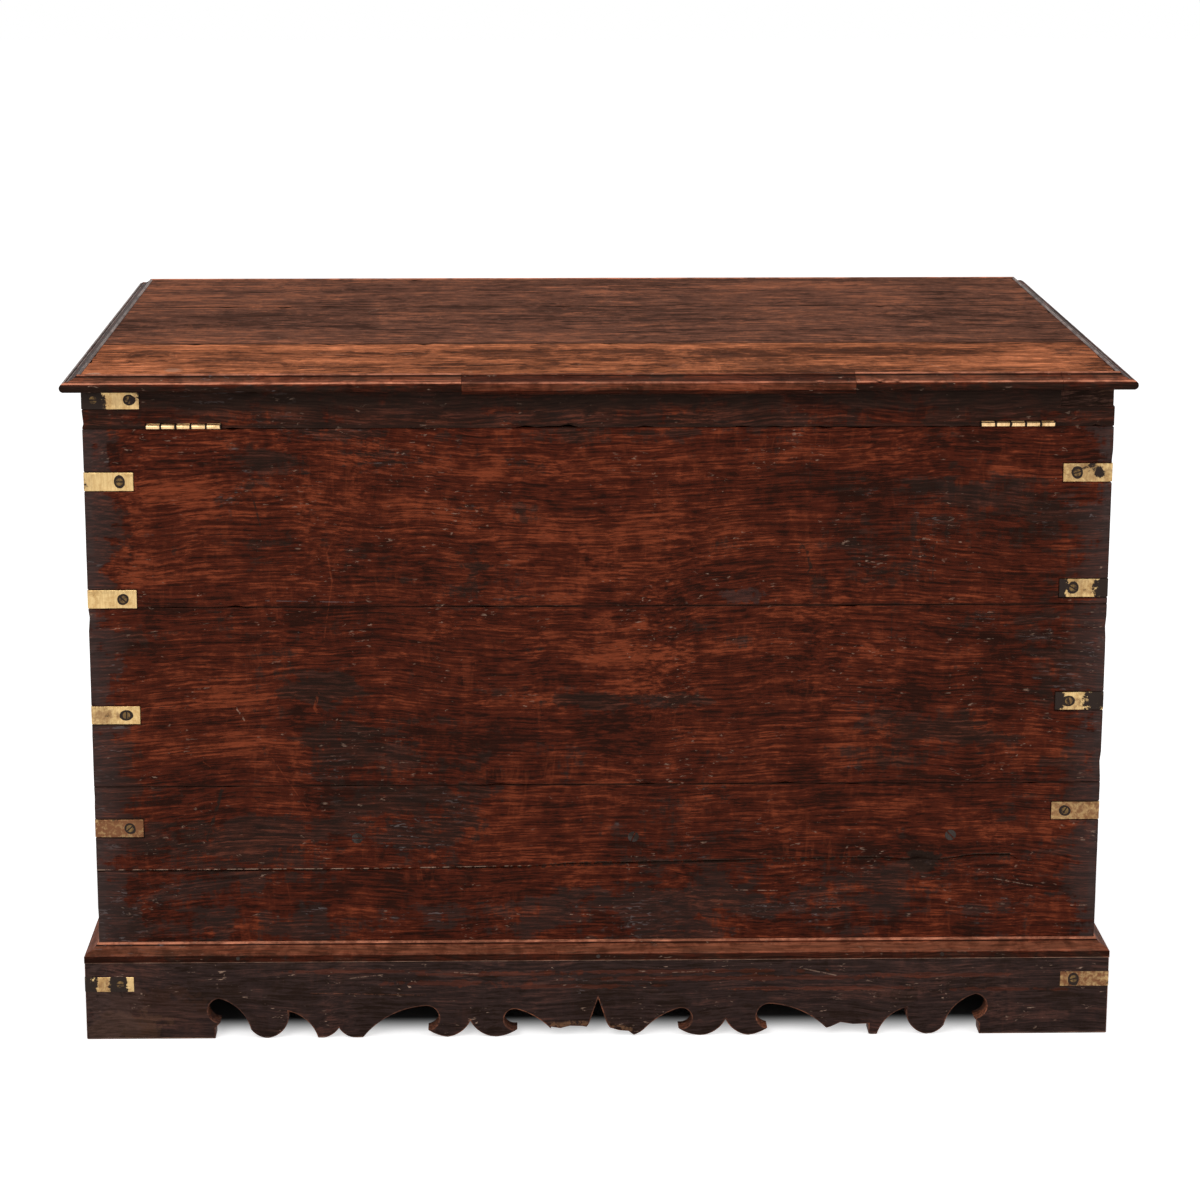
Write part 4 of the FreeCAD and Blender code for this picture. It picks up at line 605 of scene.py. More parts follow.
# Stains on the straps: middle, reach, tarnish and patina.
STRAP_SPOTS = (
    (-519, 595, 8, 14, 0.14, 0.2), (-508, 349, 16, 12, 0.06, 0.7), (-493, 227, 70, 30, 0.0, 1.25),
    (495, 601, 34, 14, 0.07, 0.6), (508, 601, 5, 6, 0.3, 0), (468, 480, 12, 16, 0.35, 0),
    (519, 480, 13, 16, 0.32, 0), (492, 480, 18, 12, 0.03, 0.5), (470, 360, 16, 16, 0.28, 0.4),
    (512, 360, 18, 16, 0.24, 0.5), (489, 357, 10, 8, 0.0, 0.5), (494, 241, 70, 30, 0.02, 0.95),
    (-530, 61, 10, 18, 0.25, 0), (-500, 61, 12, 18, 0.30, 0.4), (-515, 60, 10, 12, -0.05, 0.6),
    (-482, 61, 8, 16, -0.12, 0.2), (504, 61, 60, 26, 0.06, 1.1), (-512, 679, 16, 18, 0.30, 0.5),
    (-484, 679, 14, 10, -0.08, 0.35), (-464, 679, 5, 14, 0.14, 0.4))

# Bands of wear, painted highlight and painted shade along the mouldings, in millimetres above their lower
# edges: low, high, colour and strength.
# On the lid's nose the pale worn and orange bands along its upper rounds are partly painted highlight, and
# the film band over its lower half and underside is partly painted shade.
NOSE_BANDS = ((15.4, 17.1, "worn", 0.75), (13.7, 15.1, "film", 0.9), (11.4, 13.7, "top_orange", 0.35),
              (10.6, 11.3, "worn", 0.3), (8.9, 10.3, "worn", 0.95), (-3.2, 7.4, "film", 1.0))
# At the lid's ends the silver bands on the upper arrises are painted sheen, and the film bands in the groove
# and over the lower half are partly painted shade.
NOSE_END_BANDS = ((15.6, 17.1, "painted_edge_sheen", 0.7), (13.4, 15.1, "film", 0.95), (11.0, 13.4, "film", 0.5),
                  (8.6, 10.3, "painted_edge_sheen", 0.8), (-3.2, 7.2, "film", 0.7))
# On the later patch the pale worn and orange bands are partly painted highlight, and the film band along its
# underside is partly painted shade.
PATCH_BANDS = ((15.2, 16.4, "top_orange", 0.5), (13.7, 15.0, "film", 0.9), (9.9, 13.4, "top_dark", 0.6),
               (8.6, 9.9, "worn", 0.55), (2.0, 8.0, "top_orange", 0.3), (-3.2, 1.0, "film", 0.6))
# Over the plinth the red band on the ogee's round is a painted highlight that gives it its roundness, on the
# moulding's own red; the pale worn bands are partly painted highlight, and the film bands in its grooves and
# hollows are partly painted shade.
FOOT_BANDS = ((16.6, 18.9, "worn", 0.95), (15.4, 16.4, "film", 0.6), (11.4, 15.0, "foot_red", 0.85),
              (11.4, 12.6, "film", 0.3), (9.0, 11.4, "foot_red", 0.65), (7.9, 8.9, "worn", 0.35),
              (1.4, 7.4, "film", 0.75), (-0.4, 0.9, "dry_pale", 0.75))


def patches(rows, colours):
    """Marks for rows of patches."""
    return tuple(("patch", (x, z), (wide, tall), 0, strength, getattr(colours, hue))
                 for x, z, wide, tall, strength, hue in rows)


def scratches(rows, colours):
    """Marks for rows of scratches."""
    return tuple(("scratch", (x, z), (to_x, to_z), width, strength, getattr(colours, hue))
                 for x, z, to_x, to_z, width, strength, hue in rows)


def moulding_bands(rows, base, colours):
    """Bands of wear, painted highlight and painted shade for a moulding whose lower edge is at a height."""
    return tuple((base + low * MM, base + high * MM, getattr(colours, hue), strength, 0.3 * MM)
                 for low, high, hue, strength in rows)


def seam_bands(node, axis, reach, hue, strength, soft):
    """A band over each of the two seams of a middle board."""
    return tuple((side[axis] - reach * MM, side[axis] + reach * MM, hue, strength, soft * MM)
                 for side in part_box(node))


def crack_marks(colours):
    """The crack as a dark line with broken pale lips, and its knot-hole."""
    points = [(x / MM, z / MM) for x, z in CRACK]
    rows = []
    for near, far in zip(points, points[1:]):
        lip = 0.8 if near[0] < -100 else 0.25
        rows.append(("scratch", (near[0], near[1] + 1.2), (far[0], far[1] + 1.2), 1.2, lip, colours.dry_pale))
        rows.append(("scratch", near, far, 1.2 if near[0] < -100 else 3.0, 1.0, colours.film))
    hole = (KNOT_HOLE.x / MM, KNOT_HOLE.z / MM)
    rows.append(("patch", hole, (KNOT_REACH.x / MM * 1.2, KNOT_REACH.z / MM * 1.25), 0, 1.0, colours.film))
    return tuple(rows)


def screw_places(node):
    """Where the heads of a node's screws are on the back of the chest."""
    bm = bmesh.new()
    bm.from_mesh(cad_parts[node].data)
    left, places = set(bm.verts), []
    while left:
        rim = [left.pop()]
        low, high = rim[0].co.copy(), rim[0].co.copy()
        while rim:
            vert = rim.pop()
            low = Vector(map(min, low, vert.co))
            high = Vector(map(max, high, vert.co))
            for edge in vert.link_edges:
                other = edge.other_vert(vert)
                if other in left:
                    left.remove(other)
                    rim.append(other)
        if low.y < -CASE_Y + 1 * MM and high.y < -CASE_Y + 30 * MM and high.x - low.x < 12 * MM:
            places.append((low + high) / 2)
    bm.free()
    return sorted(places, key=tuple)


def finishes():
    """All the wood and metal, by plain names."""
    colours = bpy.context.scene.chest_colours
    film, bare, tarnish = colours.film, colours.inner_brown, colours.tarnish
    body = (colours.body_dark, colours.body_red, colours.body_orange)
    top = (colours.top_dark, colours.top_brown, colours.top_orange)
    strip = (colours.strip_dark, colours.strip_brown, colours.strip_orange)
    plinth = (film, colours.plinth_dark, colours.plinth_brown)
    plinth_rim = (colours.plinth_brown, colours.top_brown, colours.top_orange)
    inner = (colours.top_dark, bare, bare)
    middle = (0, 0, (CASE_BASE + CASE_TOP) / 2)
    around = (middle, (CASE_X, CASE_Y, (CASE_TOP - CASE_BASE) / 2 + 0.045), 0.055)
    nose = moulding_bands(NOSE_BANDS, RAIL_TOP, colours)
    nose_ends = moulding_bands(NOSE_END_BANDS, RAIL_TOP, colours)
    patch = moulding_bands(PATCH_BANDS, RAIL_TOP, colours)
    foot = moulding_bands(FOOT_BANDS, CASE_BASE, colours)
    rim = ((-0.2 * MM, 1.8 * MM, colours.dry_pale, 0.6, 0.3 * MM),)
    seams = seam_bands("back_board_middle", 2, 1.1, film, 0.9, 0.7)
    joints = seam_bands("lid_board_middle", 1, 2.2, film, 0.95, 1.2)
    # Under the lid moulding: the first band is old film and the painted shadow of the moulding's overhang on
    # the rail's top; the second darkens the rail's lower edge along its joint.
    shade_and_film_under_nose = ((668 * MM, 700 * MM, film, 1.0, 8 * MM), (646 * MM, 653 * MM, film, 0.8, 2 * MM))
    lid_marks = patches(LID_PATCHES, colours) + scratches(LID_SCRATCHES, colours)
    marks = (scratches(BACK_SCRATCHES, colours) + patches([(142, 472, 26, 8, 0.5, "edge_grey")], colours)
             + scratches(LATER_SCRATCHES, colours) + crack_marks(colours))
    shear = [(x * PLINTH_X / MM, z * SCALLOP_HEIGHT / MM + 2) for x, z in BROKEN_MIDDLE[1:-1]]
    streaks = [(*row, 0.24, "body_orange") for row in PLINTH_STREAKS]
    torn = [(*near, *far, 5.5, 0.8, "inner_brown") for near, far in zip(shear, shear[1:])]
    scuffs = (patches(PLINTH_PATCHES, colours) + scratches(PLINTH_SCRATCHES, colours)
              + patches([(-512, 34, 30, 44, 0.5, "edge_pale")], colours) + patches(streaks, colours)
              + scratches(torn, colours))
    # Each screw on the straps gets a dark ring of tarnish that is also the painted shade of its countersink.
    spots = STRAP_SPOTS + tuple((place.x / MM, place.z / MM, 5.0, 5.0, 0.5, 0)
                                for node in ("brass_screws_carcass", "brass_screws_lid")
                                for place in screw_places(node))
    gaps = tuple((centre + step * KNUCKLE, HINGE_HEIGHT, 1.2, 14, 0.55, 0.0) for centre in HINGE_PLACES
                 for step in (-2.5, -1.5, -0.5, 0.5, 1.5, 2.5))
    # The screw heads are darkened partly as tarnish and partly as the painted shade of their countersinks.
    dark_brass = [share * 0.45 for share in colours.brass_dull[:3]] + [1]
    lid_top = {"gloss": 0.5, "specular": 0.0005, "glint": 0.3, "bands": joints, "zones": LID_ZONES,
               "marks": lid_marks, "top": True}
    under = {"nick": 0.3, "bands": shade_and_film_under_nose, "glint": 0.2}
    planed = {"cover": -0.16, "gloss": 0.7, "specular": 0.1, "glint": 0.0}
    short = {"swapped": True}
    shiny = {"specular": 0.01}
    return {
        "back": teak("teak_back", body, 0.0, cover=-0.045, zones=BACK_ZONES, marks=marks, block=around,
                     bands=seams),
        "front": teak("teak_front", body, 3.1, cover=-0.04, zones=FRONT_ZONES, block=around, bands=seams),
        "ends": teak("teak_ends", body, 6.3, cover=-0.03, block=around, bands=seams, **short),
        # The lid rails' thicker film is partly the painted shadow under the moulding.
        "band": teak("teak_lid_band", body, 9.2, cover=0.022, **under),
        "band_ends": teak("teak_lid_band_ends", body, 12.4, cover=0.01, **under, **short),
        "top": teak("teak_lid_top", top, 15.7, cover=-0.05, film=colours.top_dark, depth=0.45, **lid_top),
        "strip": teak("teak_lid_strip", strip, 16.9, cover=-0.03, film=colours.strip_dark, depth=0.5,
                      **lid_top),
        "nose": teak("teak_lid_nose", body, 18.3, cover=0.0, nick=0.8, bands=nose, **shiny),
        "nose_ends": teak("teak_lid_nose_ends", body, 21.8, cover=0.02, bands=nose_ends, **short, **shiny),
        "patch": teak("teak_lid_nose_patch", body, 24.5, cover=-0.04, nick=0.5, bands=patch, **shiny),
        "plinth": teak("teak_plinth_long", plinth, 27.1, cover=-0.05, marks=scuffs, nick=0.9, bands=rim),
        "plinth_ends": teak("teak_plinth_short", plinth, 30.6, cover=-0.04, nick=0.6, bands=rim, **short),
        "plinth_rim": teak("teak_plinth_rim", plinth_rim, 29.8, cover=-0.08, nick=0.6),
        "plinth_nose": teak("teak_plinth_moulding_long", body, 33.2, cover=-0.02, bands=foot, **shiny),
        "plinth_nose_ends": teak("teak_plinth_moulding_short", body, 36.9, cover=-0.02, bands=foot, **short,
                                 **shiny),
        "inner": teak("teak_inner_long", inner, 39.4, **planed),
        "inner_ends": teak("teak_inner_short", inner, 42.8, **planed, **short),
        "broken": teak("teak_broken", (film, colours.plinth_brown, bare), 45.1, cover=0.0, gloss=0.8,
                       specular=0.02, glint=0.2),
        "brass": metal("brass_rubbed", colours.brass, colours.brass_dull, tarnish, 0.42, 0.0),
        "hinge": metal("brass_hinges", colours.hinge_brass, colours.brass_dull, tarnish, 0.40, 4.4,
                       spots=gaps),
        "straps": metal("brass_straps", colours.brass, colours.brass_dull, tarnish, 0.40, 1.7, spots=spots),
        "screws": metal("brass_screws", dark_brass, tarnish, tarnish, 0.5, 8.1, metallic=0.9),
        "iron": metal("iron_screws", colours.iron, tarnish, tarnish, 0.5, 3.3, gloss=0.5),
        "lock_iron": metal("iron_lock", colours.iron, tarnish, tarnish, 0.5, 5.9, gloss=0.45),
    }


# Making meshes

def new_piece(name, bm, materials):
    """An object from a finished skin, smooth except at its sharp edges."""
    bmesh.ops.recalc_face_normals(bm, faces=bm.faces)
    mesh = bpy.data.meshes.new(name)
    bm.to_mesh(mesh)
    bm.free()
    for material in materials:
        mesh.materials.append(material)
    mesh.shade_smooth()
    mesh.set_sharp_from_angle(angle=math.radians(SHARP_ANGLE))
    piece = bpy.data.objects.new(name, mesh)
    bpy.context.scene.collection.objects.link(piece)
    return piece


def settle(piece, body, slot, *nodes):
    """Tie a piece to its body and hide the nodes that it stands for. The slot of its finish is not used."""
    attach(piece, body)
    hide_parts(*nodes)


def worn_piece(node, bm, materials, body, slot):
    """The worn piece that stands for one node."""
    piece = new_piece("worn_" + node, bm, materials)
    settle(piece, body, slot, node)
    return piece


def loft(bm, rings, closed=False):
    """Skin a row of like rings, with flat ends unless the row closes on itself."""
    rows = [[bm.verts.new(point) for point in ring] for ring in rings]
    count = len(rows[0])
    for near, far in zip(rows, rows[1:] + (rows[:1] if closed else [])):
        for n in range(count):
            m = (n + 1) % count
            bm.faces.new((near[n], near[m], far[m], far[n]))
    if not closed:
        bm.faces.new(rows[0])
        bm.faces.new(rows[-1][::-1])


def turned_rings(profile, centre, axis, count):
    """Rings of a piece turned on a lathe: radius and distance along the axis from a centre."""
    aim = Vector(axis).to_track_quat("Z", "Y").to_matrix()
    rings = []
    for radius, along in profile:
        ring = []
        for n in range(count):
            turn = math.tau * n / count
            ring.append(centre + aim @ Vector((radius * math.cos(turn), radius * math.sin(turn), along)))
        rings.append(ring)
    return rings


def bevel_sharp(bm, width, segments=2, angle=WOOD_ANGLE, convex=True):
    """Ease the sharp edges of a skin, or only those that stand out."""
    bmesh.ops.recalc_face_normals(bm, faces=bm.faces)
    sharp = [edge for edge in bm.edges if len(edge.link_faces) == 2
             and abs(edge.calc_face_angle_signed(0)) > math.radians(angle)
             and not (convex and edge.calc_face_angle_signed(0) < 0)]
    bmesh.ops.bevel(bm, geom=sharp, offset=width, segments=segments, profile=0.6, affect="EDGES",
                    clamp_overlap=not convex)


def cell_lines(low, high, step, marks):
    """Grid lines from low to high, about a step apart, with one at each mark between."""
    stops = sorted({low, high, *(mark for mark in marks if low + 0.2 * MM < mark < high - 0.2 * MM)})
    lines = [low]
    for near, far in zip(stops, stops[1:]):
        count = max(1, round((far - near) / step))
        lines += [near + (far - near) * n / count for n in range(1, count + 1)]
    return lines


def grid_skin(bm, low, high, hollows, cell, marks=((), (), ())):
    """The skin of a block of cells with box-shaped hollows cut out of it."""
    close = [box for box in hollows if all(box[0][axis] < high[axis] and box[1][axis] > low[axis]
                                           for axis in range(3))]
    lines = []
    for axis in range(3):
        bounds = [box[end][axis] for box in close for end in range(2)]
        step = cell if high[axis] - low[axis] > 3 * cell else high[axis] - low[axis]
        lines.append(cell_lines(low[axis], high[axis], step, list(marks[axis]) + bounds))
    counts = [len(line) - 1 for line in lines]
    full = set()
    for i in range(counts[0]):
        for j in range(counts[1]):
            for k in range(counts[2]):
                middle = [(line[n] + line[n + 1]) / 2 for line, n in zip(lines, (i, j, k))]
                if not any(all(a < b < c for a, b, c in zip(box[0], middle, box[1])) for box in close):
                    full.add((i, j, k))
    points = {}

    def corner(i, j, k):
        if (i, j, k) not in points:
            points[i, j, k] = bm.verts.new((lines[0][i], lines[1][j], lines[2][k]))
        return points[i, j, k]

    for i, j, k in full:
        for axis in range(3):
            for end in range(2):
                beside = [i, j, k]
                beside[axis] += 2 * end - 1
                if tuple(beside) in full:
                    continue
                base = [i, j, k]
                base[axis] += end
                first, second = [other for other in range(3) if other != axis]
                ring = []
                for a, b in ((0, 0), (1, 0), (1, 1), (0, 1)):
                    at = list(base)
                    at[first] += a
                    at[second] += b
                    ring.append(corner(*at))
                bm.faces.new(ring)


def weather(bm, low, high, seed, swapped=False):
    """Let a board's skin sink a little into the wood, most at its arrises."""
    sizes = bpy.context.scene.chest_sizes
    reach = sizes.arris * 1.6
    for vert in bm.verts:
        place = vert.co.copy()
        shift = Vector()
        for axis in range(3):
            if abs(place[axis] - low[axis]) < reach:
                shift[axis] = 1
            elif abs(place[axis] - high[axis]) < reach:
                shift[axis] = -1
        faces = sum(abs(side) for side in shift)
        if not faces:
            continue
        along = Vector((place.y, place.x, place.z)) if swapped else place
        marks = noise.noise(Vector((along.x * 5, along.y * 5, along.z * 38 + seed)))
        sunk = sizes.hollow * (0.55 + 0.45 * marks)
        if faces > 1:
            chip = noise.noise(place * 70 + Vector((seed, 0, 0))) + 0.7 * noise.noise(place * 190)
            sunk += sizes.nibble * max(0, chip - 0.34)
        vert.co += shift * sunk


def face_towards(piece, index, test):
    """Give the faces that pass a test another material."""
    for face in piece.data.polygons:
        if test(face.center, face.normal):
            face.material_index = index


def plank(node, hollows, seed, swapped=False, marks=((), (), ()), cell=None, shape=None):
    """The worn skin of one board, ready to become a piece."""
    sizes = bpy.context.scene.chest_sizes
    low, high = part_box(node)
    bm = bmesh.new()
    grid_skin(bm, low, high, hollows, cell or sizes.board_cell, marks)
    bevel_sharp(bm, sizes.arris)
    weather(bm, low, high, seed, swapped)
    if shape is not None:
        for vert in bm.verts:
            vert.co = shape(vert.co)
    return bm


def eased_pieces(rows, width=None, segments=2):
    """Worn pieces with the nodes' own shapes and eased edges: rows of node, body, slot and finish."""
    wood = finishes()
    width = width or bpy.context.scene.chest_sizes.metal_arris
    for node, body, slot, finish in rows:
        bm = bmesh.new()
        bm.from_mesh(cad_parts[node].data)
        bmesh.ops.remove_doubles(bm, verts=bm.verts, dist=0.001 * MM)
        bmesh.ops.dissolve_limit(bm, angle_limit=math.radians(0.6), verts=bm.verts, edges=bm.edges)
        bevel_sharp(bm, width, segments, METAL_ANGLE, convex=False)
        worn_piece(node, bm, [wood[finish]], body, slot)


def strap_places(left_heights, right_heights, half_x, half_y, corners=CORNERS):
    """Where angle straps are: their corners, turns and sides."""
    return [(Vector((across * half_x, along * half_y, middle)), angle, across, along)
            for across, along, angle in corners
            for middle in (left_heights if across < 0 else right_heights)]


def case_straps():
    """All sixteen straps on the walls."""
    heights = [[CASE_BASE + share * (CASE_TOP - CASE_BASE) for share in shares]
               for shares in (LEFT_STRAP_SHARES, RIGHT_STRAP_SHARES)]
    return strap_places(*heights, CASE_X, CASE_Y)


def lid_straps():
    """The three straps left on the lid."""
    height = [RAIL_TOP - LID_STRAP_DROP]
    return strap_places(height, height, CASE_X, CASE_Y, [row for row in CORNERS if row[:2] != (1, -1)])


def strap_hollows(places, leg, height):
    """The recesses that straps lie in, a little larger than the straps."""
    fit = bpy.context.scene.chest_sizes.strap_fit
    out = 4 * MM
    boxes = []
    for corner, angle, across, along in places:
        for reach_x, reach_y in ((leg + fit, STRAP_SUNK), (STRAP_SUNK, leg + fit)):
            xs = sorted((corner.x + across * out, corner.x - across * reach_x))
            ys = sorted((corner.y + along * out, corner.y - along * reach_y))
            low = Vector((xs[0], ys[0], corner.z - height / 2 - fit))
            high = Vector((xs[1], ys[1], corner.z + height / 2 + fit))
            boxes.append((low, high))
    return boxes


def strap_rings(leg, height, seed):
    """Rings of an angle strap round a corner at the origin whose wood lies towards +X and +Y."""
    bend, lip, thick = 1.6 * MM, 0.35 * MM, STRAP_PROUD + STRAP_SUNK - 0.1 * MM
    stops = [(leg, -STRAP_PROUD, 0, 1, 1), (leg - lip, -STRAP_PROUD, 0, 1, 0)]
    count = 14
    for n in range(1, count):
        stops.append((leg - lip - (leg - lip - bend) * n / count, -STRAP_PROUD, 0, 1, 0))
    for n in range(5):
        turn = math.radians(90 * n / 4)
        to_x, to_y = math.sin(turn), math.cos(turn)
        stops.append((bend - (bend + STRAP_PROUD) * to_x, bend - (bend + STRAP_PROUD) * to_y, to_x, to_y, 0))
    mirrored = [(y, x, to_y, to_x, end) for x, y, to_x, to_y, end in stops[:count + 1]]
    stops += mirrored[::-1]
    rings = []
    half = height / 2
    for x, y, to_x, to_y, end in stops:
        ring = []
        for depth, up in ((thick, -half), (lip, -half), (0, lip - half), (0, -half / 2), (0, 0),
                          (0, half / 2), (0, half - lip), (lip, half), (thick, half)):
            rough = noise.noise(Vector((x * 90 + seed, y * 90, up * 120)))
            edge = noise.noise(Vector((x * 160, y * 160 + seed, 3.3)))
            inward = depth + ((0.06 + 0.2 * max(0, rough)) * MM + end * lip if depth < lip else 0)
            tall = up * (1 - 0.035 * max(0, edge)) * (0.97 if end else 1)
            ring.append(Vector((x + to_x * inward, y + to_y * inward, tall)))
        rings.append(ring)
    return rings


def straps_piece(node, body, places, leg, height):
    """A set of straps as one piece."""
    bm = bmesh.new()
    for number, (corner, angle, across, along) in enumerate(places):
        turn = Matrix.Rotation(math.radians(angle), 3, "Z")
        rings = strap_rings(leg, height, number * 3.7)
        loft(bm, [[corner + turn @ point for point in ring] for ring in rings])
    worn_piece(node, bm, [finishes()["straps"]], body, "brass")


def moulding_skin(bm, section, half_case, reach, base, angle, start, end, seed, bites=()):
    """One length of moulding along a side, mitred where start or end is MITRED."""
    sizes = bpy.context.scene.chest_sizes
    turn = Matrix.Rotation(math.radians(angle), 3, "Z")
    points = [Vector((out * MM, up * MM)) for out, up in section]
    inward = []
    for n, point in enumerate(points):
        run = (points[(n + 1) % len(points)] - points[n - 1]).normalized()
        inward.append(Vector((-run.y, run.x)))
    low = -half_case if start is MITRED else start
    high = half_case if end is MITRED else end
    count = max(2, round((high - low) / sizes.moulding_cell))
    rings = []
    for n in range(count + 1):
        share = n / count
        ring = []
        for point, into in zip(points, inward):
            near = -half_case - point.x if start is MITRED else start
            far = half_case + point.x if end is MITRED else end
            x = near + (far - near) * share
            wave = noise.noise(Vector((x * 30 + seed, point.x * 300, point.y * 300)))
            chip = noise.noise(Vector((x * 120 + seed, point.x * 90, point.y * 90)))
            outer = point.x > 2 * MM
            sunk = 0.12 * MM * (1 + wave) + (0.9 * MM * max(0, chip - 0.45) if outer else 0)
            for bite_x, bite_up, size in bites:
                apart = math.hypot(x - bite_x, (point.y - bite_up) * 1.3)
                if outer and apart < size:
                    sunk += 0.45 * (size - apart)
            if point.x < 0.1 * MM:
                sunk = 0
            moved = point + into * sunk
            ring.append(turn @ Vector((x, -reach - moved.x, base + moved.y)))
        rings.append(ring)
    loft(bm, rings)


def arc_points(start, middle, end, step):
    """Points along the arc through three points, after its first."""
    a, b = middle - start, end - start
    cross = 2 * (a.x * b.y - a.y * b.x)
    if abs(cross) < 1e-12:
        return [end]
    centre = start + Vector((b.y * a.length_squared - a.y * b.length_squared,
                             a.x * b.length_squared - b.x * a.length_squared)) / cross
    radius = (start - centre).length
    angles = [math.atan2(point.y - centre.y, point.x - centre.x) for point in (start, middle, end)]
    way = 1 if cross > 0 else -1
    sweep = (angles[2] - angles[0]) * way % math.tau
    count = max(2, math.ceil(sweep * radius / step))
    turns = [angles[0] + way * sweep * n / count for n in range(1, count + 1)]
    return [centre + radius * Vector((math.cos(turn), math.sin(turn))) for turn in turns]


def scallop_points(rows, half_length, step):
    """The scalloped edge from the foot to the middle."""
    rows = [[Vector((x * half_length, z * SCALLOP_HEIGHT)) for x, z in row] for row in rows]
    points = list(rows[0])
    for row in rows[1:]:
        if len(row) == 2:
            points += arc_points(points[-1], row[0], row[1], step)
        else:
            count = max(1, round((row[0] - points[-1]).length / (2 * step)))
            start = points[-1]
            points += [start.lerp(row[0], n / count) for n in range(1, count + 1)]
    return points


def inside(point, ring):
    """Whether a point lies inside a closed outline."""
    within = False
    for a, b in zip(ring, ring[1:] + ring[:1]):
        if (a.y > point.y) != (b.y > point.y):
            if point.x < a.x + (point.y - a.y) * (b.x - a.x) / (b.y - a.y):
                within = not within
    return within


def plinth_skin(rows, half_length, reach, angle, seed, broken=()):
    """A mitred plinth board with its scalloped lower edge and what has broken off it."""
    sizes = bpy.context.scene.chest_sizes
    right = scallop_points(rows, half_length, 3 * MM)
    left = [Vector((-point.x, point.y)) for point in right]
    base = [left[0].lerp(Vector((-half_length, 0)), share) for share in (1, 0.75, 0.5, 0.25)]
    foot = [right[0].lerp(Vector((half_length, 0)), share) for share in (0.25, 0.5, 0.75, 1)]
    top = [Vector((half_length * share / 4, CASE_BASE)) for share in range(4, -5, -1)]
    ring = base + left + right[-2::-1] + foot + top
    cell = sizes.board_cell
    loose = []
    room = 0.4 * cell
    for i in range(int(-half_length / cell) + 3, int(half_length / cell) - 2):
        for k in range(1, int(CASE_BASE / cell) + 1):
            point = Vector((i * cell, k * cell))
            if (inside(point, ring) and CASE_BASE - point.y > room
                    and min((point - other).length for other in ring) > room):
                loose.append(point)
    outlines = [ring] + [[Vector((x * half_length, z * SCALLOP_HEIGHT)) for x, z in reversed(shape)]
                         for shape in broken]
    points, loops = [], []
    for outline in outlines:
        loops.append(list(range(len(points), len(points) + len(outline))))
        points += outline
    made = geometry.delaunay_2d_cdt(points + loose, [], loops, 1, 1e-7)
    flat, faces, owners = made[0], made[2], made[5]
    kept = [face for face, owner in zip(faces, owners) if owner == [0]]
    bm = bmesh.new()
    turn = Matrix.Rotation(math.radians(angle), 3, "Z")
    skins = []
    for depth in (0, PLINTH_THICK):
        verts = {}
        for n in {n for face in kept for n in face}:
            limit = half_length - depth
            x = max(-limit, min(limit, flat[n].x)) if abs(flat[n].x) > half_length - 1 * MM else flat[n].x
            if abs(x) > limit:
                x = math.copysign(limit - (half_length - abs(x)) * 0.2, x)
            verts[n] = bm.verts.new((x, depth - reach, flat[n].y))
        skins.append(verts)
    edges = {}
    for face in kept:
        for verts in skins:
            bm.faces.new([verts[n] for n in face])
        for a, b in zip(face, face[1:] + face[:1]):
            key = (min(a, b), max(a, b))
            edges[key] = edges.get(key, 0) + 1
    for (a, b), count in edges.items():
        if count == 1:
            bm.faces.new((skins[0][a], skins[0][b], skins[1][b], skins[1][a]))
    bevel_sharp(bm, 1.2 * MM, angle=50)
    for vert in bm.verts:
        place = vert.co.copy()
        wave = noise.noise(Vector((place.x * 6, seed, place.z * 40)))
        fine = noise.noise(Vector((place.x * 90, seed, place.z * 90)))
        if place.y < 1 * MM - reach:
            vert.co.y += 0.2 * MM * (1 + wave)
        if place.z < 1 * MM:
            vert.co.z += 0.5 * MM * max(0, 0.3 + fine)
        elif place.z > CASE_BASE - 1 * MM:
            vert.co.z -= 0.05 * MM
        vert.co = turn @ vert.co
    return bm


# Shapes of single boards

def opened_crack(place):
    """Bend the crack's rows of points to its line, sink its middle row and dish the knot-hole."""
    if place.y > -CASE_Y + 1 * MM:
        return place
    depth = bpy.context.scene.chest_sizes.crack_depth
    moved = place.copy()
    if abs(place.z - CRACK_LINE) < 2 * MM and place.x < CRACK[-1][0]:
        for (x0, z0), (x1, z1) in zip(CRACK, CRACK[1:]):
            if x0 <= place.x <= x1:
                moved.z = z0 + (z1 - z0) * (place.x - x0) / (x1 - x0) + (place.z - CRACK_LINE)
        if abs(place.z - CRACK_LINE) < 0.5 * MM:
            moved.y += depth * (0.55 + 0.45 * noise.noise(Vector((place.x * 25, 0, 7.7))))
    away = moved - KNOT_HOLE
    near = math.hypot(away.x / KNOT_REACH.x, away.z / KNOT_REACH.z)
    if near < 1:
        moved.y += 5 * MM * (1 - near * near)
    return moved


def torn_wood(place):
    """Roughen the hollow that the lost strap has left."""
    moved = place.copy()
    if (place.x >= TORN_START + 0.5 * MM and place.z >= TORN_LOW + 0.5 * MM
            and -CASE_Y + 0.9 * MM < place.y <= -CASE_Y + 3 * MM):
        moved.y += 1.1 * MM * noise.noise(Vector((place.x * 60, 0, place.z * 160)))
    return moved


def line_inside(piece, axis, way):
    """Give the inner face of a wall or rail its second finish, but not the inner side of a recess."""
    face_towards(piece, 1, lambda centre, normal: normal[axis] * way < -0.7
                 and (axis == 0 or abs(centre.y) < INNER_Y + MM))


# Operators: one for each group of like pieces

